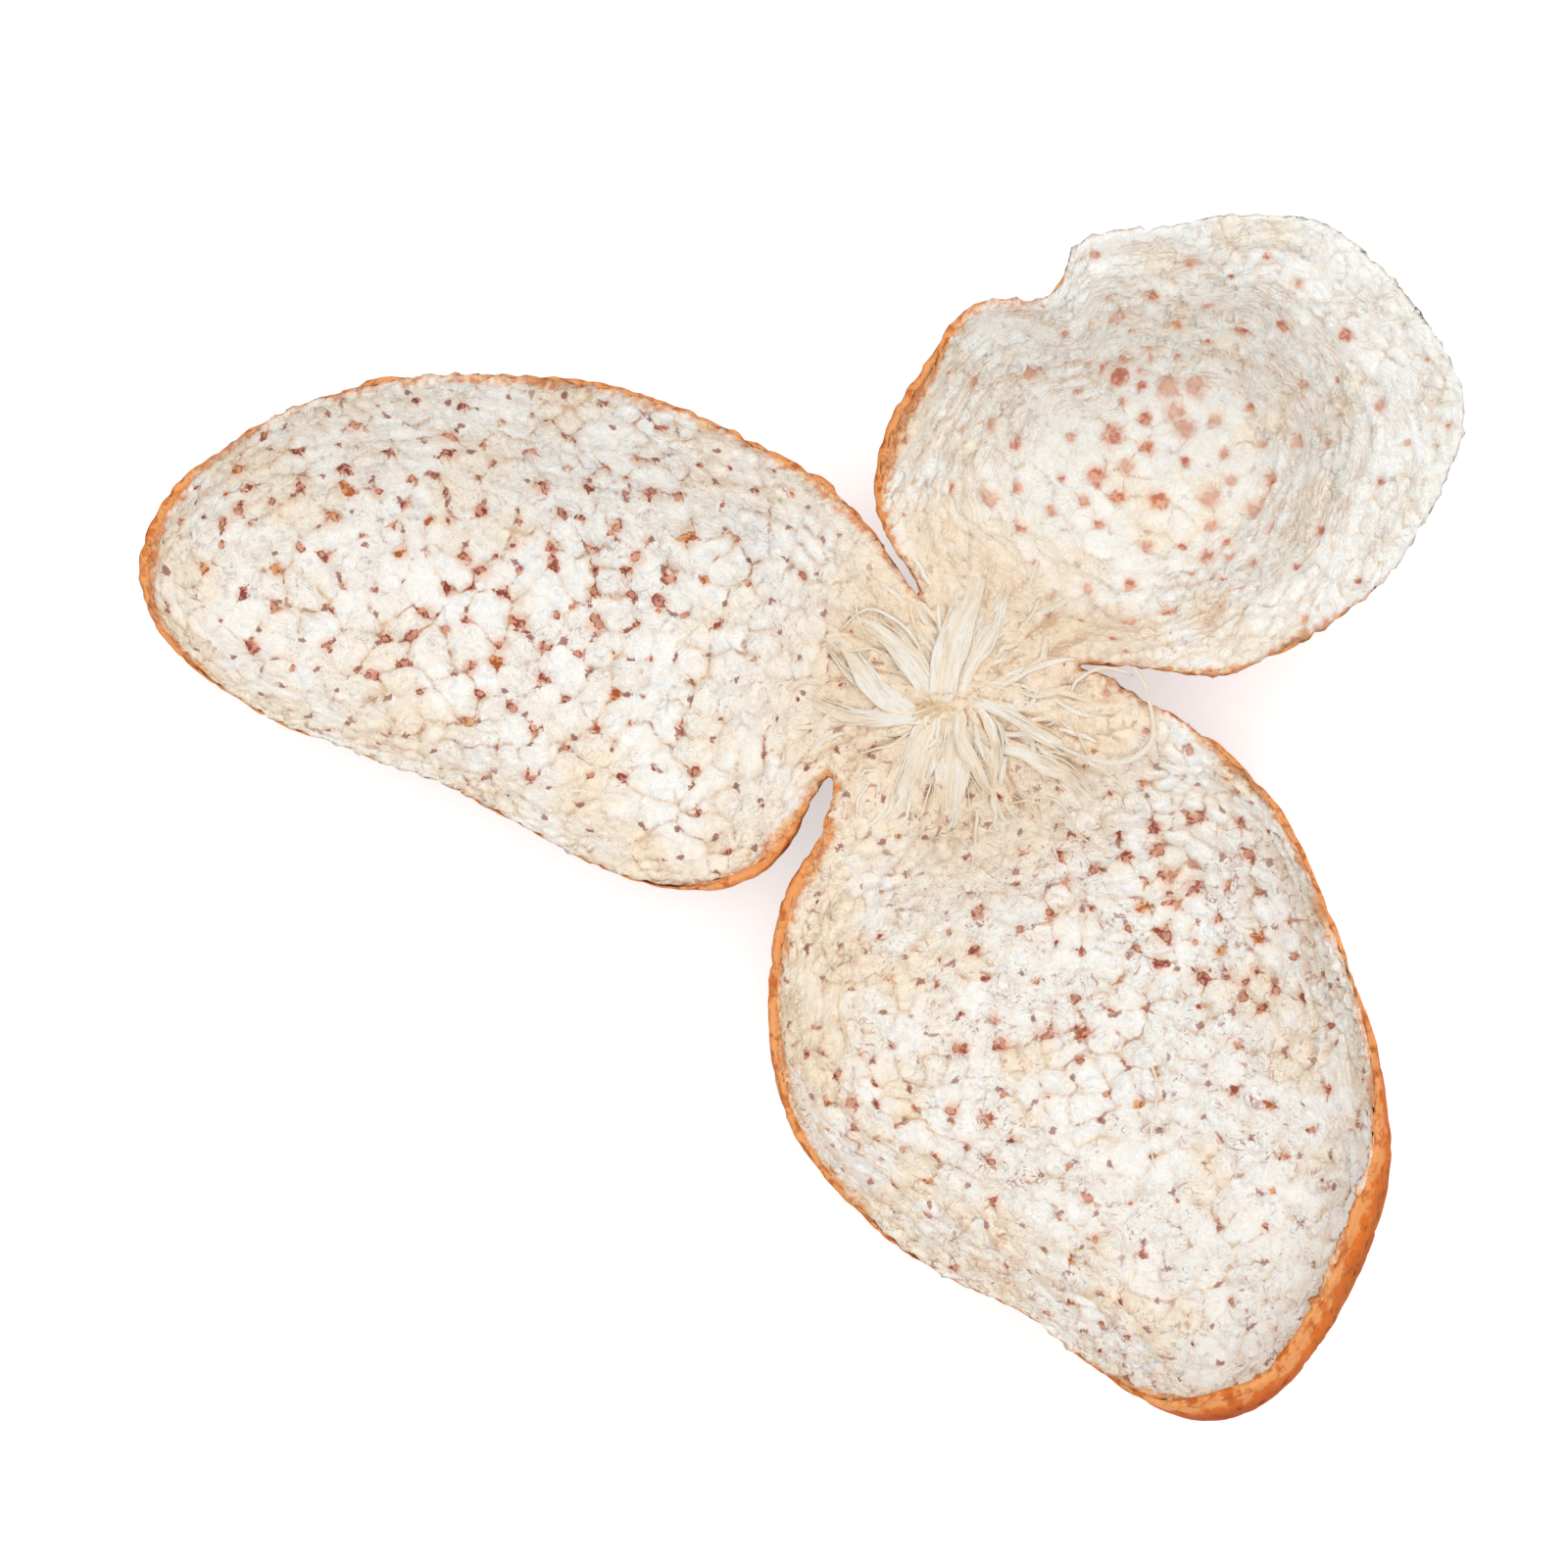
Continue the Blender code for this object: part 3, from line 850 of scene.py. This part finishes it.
def with_valleys(graph, pith, colour):
    """Cream wisps, tan lines on the folds, and tan in the valleys: painted shade between the
    cushions, and part tan line, part painted shade in the crumbs' and the streaks' grooves.
    """
    wisp = 1.0 - graph.maths("ABSOLUTE", pith.wisps - 0.46).ease(0.0, 0.03)
    # Painted shade: tan laid on the relief's low places, where shade would fall, less in the soft
    # bowl.
    valley_shade = graph.stored("height").ease(0.05, -0.45)
    # Tan-brown lines in the bottoms of the crumbs' grooves: partly the pith's own lines, partly
    # painted shade in those grooves.
    crease = pith.crumbs.ease(0.035, 0.005) * pith.patches.ease(0.42, 0.6)
    crease = crease * (0.1 + 0.28 * pith.crumbly) * (1.0 - 0.8 * pith.calm)
    folds = graph.veins(graph.stored("ring", True), 1.5, 2.0, 0.55, 0.5).ease(0.05, 0.01)
    folds = folds * graph.stored("wrinkled") * pith.uneven.ease(0.4, 0.55)
    # Painted shade with tan creases: tan in the low parts of the streaks' and the folds' relief
    # round the hub.
    streaks = graph.stored("streaks").ease(-0.02, -0.14)
    stem = (graph.stored("stem") + pith.ragged).ease(0.3, 0.8)
    return graph.coated(
        colour,
        (wisp * 0.5, rgb(241, 215, 174)),
        (valley_shade * (0.5 - 0.32 * pith.soft), rgb(226, 198, 172)),
        (crease, rgb(192, 148, 120)),
        (folds * 0.5, rgb(216, 168, 124)),
        (streaks * pith.near_hub * 0.6, rgb(204, 160, 120)),
        (stem * 0.5, rgb(216, 176, 120)),
    )


def with_cracks(graph, pith, colour):
    """Lines along the cushions' borders, which are their grooves: grey painted shade, tan and brown
    cracks, all stronger where the grooves are deeper, and dark specks on them.
    """
    # The borders are the bottoms of the cushions' grooves, and the lines grow with the grooves'
    # depth.
    line = pith.border.ease(0.18, 0.04) * graph.stored("grooves")
    tan = pith.uneven.ease(0.48, 0.42)
    brown = pith.uneven.ease(0.52, 0.6)
    speck = graph.stored("speck") + pith.ragged * 1.5
    speck = speck + graph.maths("MINIMUM", pith.border, 0.8) * 0.7
    return graph.coated(
        colour,
        # Painted shade: a grey line in every groove.
        (line * (0.3 - 0.1 * pith.soft), rgb(208, 190, 172)),
        (line * tan * (0.6 - 0.15 * pith.soft), rgb(224, 188, 140)),
        (line * brown * (0.7 - 0.6 * pith.soft), rgb(176, 122, 94)),
        (speck.ease(0.5, 0.35) * (0.8 - 0.6 * pith.soft), rgb(146, 76, 64)),
    )


def with_marks(graph, pith, colour):
    """Gland marks: a tan blush, brown arms and strokes, and a ragged middle of three kinds."""
    kind = graph.stored("gland_kind")
    gland = graph.stored("gland")
    soft = pith.soft
    arms = (gland + pith.torn * 2.5).ease(2.1 + 0.3 * pith.crumbly, 1.4)
    arms = arms * pith.border.ease(0.14, 0.05)
    strokes = graph.veins(pith.place, 1.9, 2.0, 0.5, 1.2) + pith.ragged * 0.02
    strokes = strokes.ease(0.026, 0.01) * pith.wisps.ease(0.5, 0.56)
    strokes = strokes * (0.2 + 0.6 * pith.crumbly) * (1.0 - soft) * (1.0 - 0.8 * pith.calm)
    pale = pith.broad.ease(0.42, 0.56)

    mark = gland + (pith.torn * 3.4 + pith.ragged * 0.6) * (1.0 - 0.5 * soft)
    mark = mark + graph.maths("MINIMUM", pith.border, 0.6) * (1.2 - 0.9 * soft)
    flecks = graph.noise(pith.place, 0.75, 2.0, 0.6, 1.0).ease(0.45, 0.58)
    inside = mark.ease(0.75, 0.3) * kind.ease(0.5, 0.4)
    mark_colour = graph.coated(
        graph.tint(flecks, *DARK_MARK),
        (kind.ease(0.82, 0.88), graph.tint(flecks, *ORANGE_MARK)),
        (soft * 0.75, graph.tint(flecks, *SOFT_MARK)),
        (inside * 0.7, rgb(224, 170, 140)),
    )
    shown = mark.ease(1.2, 0.85 - 0.4 * soft)
    faint = kind.ease(0.7, 0.3)
    return graph.coated(
        colour,
        (gland.ease(1.8, 0.6) * 0.35, rgb(234, 184, 154)),
        (arms * (0.6 - 0.5 * soft), rgb(168, 92, 72)),
        (strokes, graph.tint(pale, rgb(172, 100, 80), rgb(204, 156, 118))),
        (shown * (0.95 - soft * (0.1 + 0.3 * faint)), mark_colour),
    )


def with_torn_edge(graph, pith, colour):
    """Orange at the torn edge, where the rind shows through, and brown spots on it."""
    reach = 1.2 * pith.bare + (pith.patches - 0.5) * 2.0 - 0.3
    edge = (pith.rim + pith.ragged * 1.2).ease(reach + 0.8, reach - 0.1)
    pale = (pith.torn + pith.ragged).ease(-0.15, 0.15)
    stain = graph.tint(pale, rgb(222, 132, 62), rgb(242, 190, 130))
    burnt = (pith.rim + pith.ragged * 1.6).ease(0.9, 0.1)
    burnt = burnt * (pith.broad + pith.ragged * 0.3).ease(0.5, 0.6)
    burnt = burnt * pith.bare.ease(-0.3, 0.1)
    return graph.coated(colour, (edge * 0.85, stain), (burnt * 0.5, rgb(166, 92, 54)))


def pith_material():
    material, graph, shader = new_material("crumbly pith", 0.92, 0.25)
    pith = Pith(graph)
    colour = clean_pith(graph, pith)
    for coat in (with_valleys, with_cracks, with_marks, with_torn_edge):
        colour = coat(graph, pith, colour)
    relief = pith.wisps * 1.3 + pith.ragged * 0.6 + pith.crumbs * (0.4 + 0.45 * pith.crumbly)
    relief = relief * (1.0 - 0.35 * pith.calm)
    paint(graph, shader, colour, relief * MM, 0.7, 0.5)
    return material


def rind_material():
    material, graph, shader = new_material("dried rind", 0.6, 0.12)
    place = graph.stored("place", True)
    rim = graph.stored("rim")
    pit, crease, _ = rind_relief(graph, place)
    broad = graph.noise(place, 13.0, 3.0, 0.55)
    mottle = graph.noise(place, 3.2, 4.0, 0.65)
    grain = graph.noise(place, 0.35, 2.0, 0.6)
    shreds = graph.noise(place, 1.3, 3.0, 0.6)
    pale = (rim + (shreds - 0.5) * 5.0).ease(1.5, 0.3)
    browned = rim.ease(1.1, 0.1) * shreds.ease(0.5, 0.62)
    scar = graph.stored("hub") + (shreds - 0.5) * 2.4
    colour = graph.coated(
        graph.tint(broad.ease(0.35, 0.65), rgb(192, 88, 34), rgb(222, 122, 42)),
        (mottle.ease(0.5, 0.68) * 0.6, rgb(164, 80, 38)),
        (mottle.ease(0.44, 0.32) * 0.5, rgb(236, 148, 66)),
        (crease * 0.25, rgb(150, 66, 28)),
        (pit * (0.35 + 0.4 * broad.ease(0.6, 0.4)), rgb(122, 52, 22)),
        (rim.ease(3.0, 0.6) * 0.8, rgb(236, 120, 42)),
        (pale * 0.6, rgb(248, 186, 122)),
        (browned * 0.6, rgb(172, 88, 44)),
        (scar.ease(5.0, 2.4) * 0.5, rgb(212, 146, 78)),
        (scar.ease(2.2, 1.5) * 0.8, rgb(112, 66, 42)),
    )
    paint(graph, shader, colour, (grain - pit * 1.1) * MM, 0.6, 0.35)
    return material


def fibre_material():
    material, graph, shader = new_material("pith fibre", 0.8, 0.3)
    strand = graph.stored("strand", True)
    streaks = graph.noise(strand, 0.35, 3.0, 0.65)
    broad = graph.noise(strand, 1.4, 1.0).ease(0.35, 0.65)
    colour = graph.tint(broad, rgb(247, 242, 232), rgb(246, 228, 202))
    colour = graph.tint(streaks.ease(0.48, 0.72) * 0.6, colour, rgb(232, 206, 174))
    paint(graph, shader, colour, streaks * MM, 0.7, 0.4)
    return material


# ---------------- fibres of the hub

# Ribbons of fibre: plan points from the hub outward, widest width, thickness, and lift.
RIBBONS = (
    (((-1.6, -1.2), (-1.5, 2.4), (-0.6, 6.2), (0.8, 11.2)), 3.0, 0.44, 0.30),
    (((-0.4, -0.6), (0.8, 3.0), (2.2, 6.2), (3.2, 9.8)), 1.8, 0.30, 0.15),
    (((-2.2, -1.0), (-4.2, 1.8), (-6.4, 4.0), (-9.4, 6.0)), 2.0, 0.40, 0.30),
    (((-1.8, -1.0), (-3.4, 1.6), (-5.0, 3.4), (-6.4, 5.6)), 1.5, 0.32, 0.20),
    (((-3.6, -2.4), (-6.6, -0.9), (-8.8, 1.3), (-11.0, 4.2)), 2.1, 0.40, 0.30),
    (((-2.6, -2.6), (-6.2, -2.7), (-9.6, -2.6), (-13.4, -1.4)), 1.5, 0.32, 0.20),
    (((-1.6, -1.8), (-2.6, -4.6), (-3.4, -7.6), (-4.2, -11.0)), 3.2, 0.26, 0.08),
    (((-0.4, -2.0), (-0.2, -4.8), (0.0, -7.8), (0.2, -11.6)), 3.2, 0.26, 0.08),
    (((0.2, -1.6), (0.4, -4.2), (1.6, -6.6), (3.3, -8.2)), 1.2, 0.40, 0.60),
    (((1.2, -1.2), (2.8, -2.6), (3.6, -5.2), (3.4, -8.2)), 0.9, 0.36, 0.50),
    (((3.8, -4.0), (6.4, -4.6), (9.2, -5.6), (12.4, -7.8)), 1.9, 0.34, 0.20),
    (((0.6, -0.8), (4.0, -1.4), (7.4, -3.0), (10.8, -4.5)), 1.2, 0.42, 0.40),
)

# The loop over the right notch, in plan.
LOOP = (
    (7.0, -3.2),
    (10.8, -4.5),
    (14.6, -4.9),
    (16.6, -3.2),
    (16.8, -0.8),
    (15.8, 2.2),
    (14.4, 3.9),
)

# Round strands: plan points, thickness, and lift over the pith.
STRANDS = (
    (((-3.0, 1.6), (-5.0, 5.0), (-8.4, 6.9), (-11.2, 5.0)), 0.34, 0.7),
    (LOOP, 0.55, 1.0),
    (((9.6, 0.8), (10.2, 2.2), (12.6, 3.4), (14.8, 3.0)), 0.34, 0.5),
    (((9.9, -1.2), (10.6, -2.6), (11.4, -4.0), (11.6, -5.6)), 0.28, 0.3),
    (((-6.0, 2.0), (-8.0, 3.2), (-10.6, 3.0), (-13.0, 4.6)), 0.26, 0.3),
    (((4.5, -9.0), (9.0, -8.2), (12.0, -11.0), (15.6, -12.4)), 0.26, 0.25),
    (((19.0, -28.0), (20.6, -32.0), (20.2, -37.0), (22.0, -41.0)), 0.24, 0.2),
    (((-7.5, -24.0), (-8.0, -27.5), (-7.2, -31.0), (-8.2, -34.0)), 0.26, 0.2),
)

# Threads and hairs strewn round the hub: how many, nearest and farthest start, shortest and
# longest, thinnest and thickest.
THREADS = (100, 1.0, 11.0, 2.5, 7.0, 0.30, 0.80)
HAIRS = (80, 1.5, 15.0, 1.5, 4.0, 0.08, 0.16)

# The thinnest and the thickest strand of a ribbon's fringe.
FRINGE = (0.14, 0.26)

# A height over the whole peel, in metres, that the pith is looked down on from.
ABOVE = 0.05

# How deep a fibre's ends sink into the pith, and how finely fibres are made.
END_SINK = 0.35
STATIONS = 18
THREAD_STATIONS = 9
RIBBON_SIDES = 16
STRAND_SIDES = 6
THREAD_SIDES = 6

# How far the streaks are squeezed across a fibre and stretched along it.
STREAK_SQUEEZE = 2.2
STREAK_STRETCH = 0.16


def through(points, share):
    """A place on the smooth curve through plan points, at this share of it."""
    spans = len(points) - 1
    index = min(int(share * spans), spans - 1)
    local = share * spans - index
    before = Vector(points[max(index - 1, 0)])
    start = Vector(points[index])
    end = Vector(points[index + 1])
    after = Vector(points[min(index + 2, spans)])
    tangent_in = (end - before) / 2.0
    tangent_out = (after - start) / 2.0
    square = local * local
    cube = square * local
    return (
        start * (2.0 * cube - 3.0 * square + 1.0)
        + tangent_in * (cube - 2.0 * square + local)
        + end * (3.0 * square - 2.0 * cube)
        + tangent_out * (cube - square)
    )


class Ground:
    """The pith's surface under the fibres."""

    def __init__(self, pith):
        graph = bpy.context.evaluated_depsgraph_get()
        self.tree = BVHTree.FromObject(pith, graph)

    def height(self, plan):
        """Height above the hub in millimetres, or None beside the peel."""
        start = Vector((HUB.x + plan.x * MM, HUB.y + plan.y * MM, ABOVE))
        hit = self.tree.ray_cast(start, Vector((0.0, 0.0, -1.0)))[0]
        return None if hit is None else (hit.z - HUB.z) / MM

    def heights(self, plans):
        """Heights under a line of plan points, with gaps filled from their ends."""
        found = [self.height(plan) for plan in plans]
        known = [i for i, height in enumerate(found) if height is not None]
        return np.interp(range(len(found)), known, [found[i] for i in known])


def fullness(share):
    """How full a fibre is at this share of its length: drawn in at both ends, most at its tip."""
    swell = math.sin(math.pi * (0.03 + 0.94 * share)) ** 0.45
    return 0.15 + 0.85 * swell * (1.0 - 0.5 * share**3)


def add_fibre(bm, ground, plans, width, thickness, lift, sides, seed):
    """Lays a fibre along plan points: an extruded round, flattened, ridged and tapered."""
    line = laid_line(ground, plans, thickness, lift, seed)
    strand_layer = bm.verts.layers.float_vector["strand"]
    loop = bmesh.ops.create_circle(bm, cap_ends=True, segments=sides, radius=1.0)["verts"]
    corners = [vert.co.copy() for vert in loop]
    last = len(line) - 1
    travelled = 0.0
    for i, point in enumerate(line):
        ahead = (line[min(i + 1, last)] - line[max(i - 1, 0)]).normalized()
        across = ahead.cross(Vector((0.0, 0.0, 1.0))).normalized()
        upward = across.cross(ahead)
        share = i / last
        half_width = width / 2.0 * fullness(share) * (1.0 + 0.4 * waver(share * 4.0, seed, 2.5))
        half_thickness = thickness / 2.0 * fullness(share)
        if i:
            travelled += (point - line[i - 1]).length
            loop = next_loop(bm, loop)
        for vert, corner in zip(loop, corners):
            ridge = 1.0 + 0.9 * waver(corner.x * 3.5, seed, share * 2.0)
            aside = corner.x * half_width
            rise = corner.y * half_thickness * max(0.25, ridge)
            vert.co = point + across * aside + upward * rise
            streak = (aside * STREAK_SQUEEZE, travelled * STREAK_STRETCH, seed)
            vert[strand_layer] = Vector(streak)
    bmesh.ops.contextual_create(bm, geom=loop)


def next_loop(bm, loop):
    """The loop of points extruded from this one, in the same order."""
    edges = [bm.edges.get((vert, loop[i - 1])) for i, vert in enumerate(loop)]
    made = bmesh.ops.extrude_edge_only(bm, edges=edges)["geom"]
    fresh = {item for item in made if isinstance(item, bmesh.types.BMVert)}
    partners = []
    for vert in loop:
        ends = [edge.other_vert(vert) for edge in vert.link_edges]
        partners.append(next(end for end in ends if end in fresh))
    return partners


def laid_line(ground, plans, thickness, lift, seed):
    """A line over plan points that lies on the pith at its ends and is lifted between them."""
    heights = ground.heights(plans)
    line = []
    last = len(plans) - 1
    for i, plan in enumerate(plans):
        share = i / last
        raised = math.sin(math.pi * share) ** 0.7
        arch = lift * raised * (1.0 + 0.7 * waver(share * 3.0, seed, 4.5))
        arch -= END_SINK * (1.0 - raised)
        reach = min(2, i, last - i)
        around = float(np.mean(heights[i - reach : i + reach + 1]))
        under = max(around, heights[i] - 0.1)
        line.append(Vector((plan.x, plan.y, under + thickness * 0.15 + arch)))
    return line


def curved_plans(points, count, seed, wander):
    """Places along the curve through plan points, which stray from it by up to this much."""
    plans = []
    for i in range(count):
        share = i / (count - 1)
        stray = Vector((waver(share * 4.0, seed, 0.5), waver(share * 4.0, seed, 9.5)))
        plans.append(through(points, share) + stray * wander)
    return plans


def add_fringe(bm, ground, points, width, lift, dice):
    """A fine strand along a ribbon, a little aside of its middle and sometimes past its end."""
    seed = dice.uniform(0.0, 100.0)
    aside = dice.uniform(-0.55, 0.55) * width
    start = dice.uniform(0.0, 0.35)
    end = dice.uniform(0.7, 1.15)
    plans = []
    for i in range(STATIONS):
        share = start + (end - start) * i / (STATIONS - 1)
        inner = min(1.0, share)
        step = through(points, inner) - through(points, inner - 0.02)
        side = Vector((-step.y, step.x)).normalized()
        beyond = step.normalized() * max(0.0, share - 1.0) * 10.0
        spread = aside * (0.5 + 0.7 * share) + 0.35 * waver(share * 3.0, seed, 1.5)
        plans.append(through(points, inner) + beyond + side * spread)
    fine = dice.uniform(*FRINGE)
    add_fibre(bm, ground, plans, fine, fine, lift, STRAND_SIDES, seed)


def strew(bm, ground, kind, dice):
    """Short fibres that lie every way round the hub, most of them pointing away from it."""
    count, near, far, short, long, thin, thick = kind
    for _ in range(count):
        seed = dice.uniform(0.0, 100.0)
        angle = dice.uniform(0.0, 2.0 * math.pi)
        start = Vector((math.cos(angle), math.sin(angle))) * dice.uniform(near, far)
        turn = dice.gauss(0.0, 0.45)
        length = dice.uniform(short, long)
        heading = Vector((math.cos(angle + turn), math.sin(angle + turn)))
        bend = Vector((-heading.y, heading.x)) * dice.gauss(0.0, 0.15) * length
        width = dice.uniform(thin, thick)
        lift = dice.uniform(-0.05, 0.12)
        points = [start, start + heading * length * 0.5 + bend, start + heading * length]
        plans = curved_plans(points, THREAD_STATIONS, seed, 0.4)
        if all(ground.height(plan) is not None for plan in plans):
            add_fibre(bm, ground, plans, width, width * 0.4, lift, THREAD_SIDES, seed)


def make_fibres(pith):
    """The star of fibre ribbons at the hub, the loose strands beside it, and fine hairs."""
    ground = Ground(pith)
    bm = bmesh.new()
    bm.verts.layers.float_vector.new("strand")
    dice = random.Random(FIBRE_SEED)
    for points, width, thickness, lift in RIBBONS:
        seed = dice.uniform(0.0, 100.0)
        plans = curved_plans(points, STATIONS, seed, 0.3)
        add_fibre(bm, ground, plans, width, thickness, lift, RIBBON_SIDES, seed)
        for _ in range(round(width * 4.0)):
            add_fringe(bm, ground, points, width, lift + thickness * 0.3, dice)
    for points, thickness, lift in STRANDS:
        seed = dice.uniform(0.0, 100.0)
        plans = curved_plans(points, STATIONS, seed, 0.25)
        add_fibre(bm, ground, plans, thickness, thickness, lift, STRAND_SIDES, seed)
    strew(bm, ground, THREADS, dice)
    strew(bm, ground, HAIRS, dice)
    bmesh.ops.recalc_face_normals(bm, faces=bm.faces[:])
    mesh = closed(bm, "hub_fibres")
    mesh.transform(Matrix.Translation(HUB) @ Matrix.Scale(MM, 4))
    mesh.shade_smooth()
    return linked("hub_fibres", mesh)


# ---------------- the table, light and camera


# The table: its half width in metres, its colour, and its glow where the camera sees it.
TABLE_REACH = 1.5
TABLE_WHITE = (0.8, 0.8, 0.8, 1.0)
TABLE_GLOW = (0.5, 0.5, 0.5, 1.0)
NO_GLOW = (0.0, 0.0, 0.0, 1.0)

# The lamps: name, place and width in metres, and power in watts. The room lights the rest.
LAMPS = (
    ("window", (0.15, 0.56, 0.82), 0.6, 2.0),
    ("ceiling", (0.0, -0.35, 1.1), 1.0, 3.9),
)
ROOM_LIGHT = 0.75

# The camera, in metres: where it stands, what it looks at, and how wide it sees there.
CAMERA_PLACE = (0.0067, -0.0607, 0.4598)
CAMERA_TARGET = (0.001, 0.0, 0.008)
VIEW_WIDTH = 0.138


def make_table():
    bm = bmesh.new()
    bmesh.ops.create_grid(bm, x_segments=1, y_segments=1, size=TABLE_REACH)
    table = linked("table_top", closed(bm, "table_top"))
    material, graph, shader = new_material("pale table", 1.0, 0.0)
    shader.inputs["Base Color"].default_value = TABLE_WHITE
    glow = graph.tint(graph.node("ShaderNodeLightPath", {}, {}), NO_GLOW, TABLE_GLOW)
    graph.tree.links.new(glow.socket, shader.inputs["Emission Color"])
    shader.inputs["Emission Strength"].default_value = 1.0
    table.data.materials.append(material)


def light_the_room():
    for name, place, width, power in LAMPS:
        lamp = bpy.data.lights.new(name, "AREA")
        lamp.shape = "SQUARE"
        lamp.size = width
        lamp.energy = power
        light = linked(name, lamp)
        light.location = place
        light.rotation_euler = (-Vector(place)).to_track_quat("-Z", "Y").to_euler()
    world = bpy.data.worlds.new("room")
    world.use_nodes = True
    background = world.node_tree.nodes["Background"]
    background.inputs["Color"].default_value = (1.0, 1.0, 1.0, 1.0)
    background.inputs["Strength"].default_value = ROOM_LIGHT
    bpy.context.scene.world = world


def place_camera():
    """Nearly straight above the peel, leaning back a little, as one looks at a peel in the hand."""
    camera = linked("camera", bpy.data.cameras.new("camera"))
    camera.location = CAMERA_PLACE
    way = Vector(CAMERA_TARGET) - camera.location
    camera.rotation_euler = way.to_track_quat("-Z", "Y").to_euler()
    camera.data.sensor_width = 36.0
    camera.data.lens = camera.data.sensor_width * way.length / VIEW_WIDTH
    camera.data.clip_start = 0.01
    bpy.context.scene.camera = camera


# ---------------- the scene


def set_material(mesh, material):
    mesh.materials.clear()
    mesh.materials.append(material)
    mesh.polygons.foreach_set("material_index", np.zeros(len(mesh.polygons), np.int32))


bpy.context.scene.view_settings.view_transform = "Standard"
marked = marked_peel()
torn_edge = rim_points(marked.data)
pith_piece = make_pith(marked, torn_edge)
rind_piece = make_rind(marked, torn_edge)
fibres = make_fibres(pith_piece)
bpy.data.objects.remove(marked)
set_material(pith_piece.data, pith_material())
set_material(rind_piece.data, rind_material())
set_material(fibres.data, fibre_material())
for piece in (pith_piece, rind_piece, fibres):
    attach(piece, "root")
    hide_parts("peel")
make_table()
light_the_room()
place_camera()
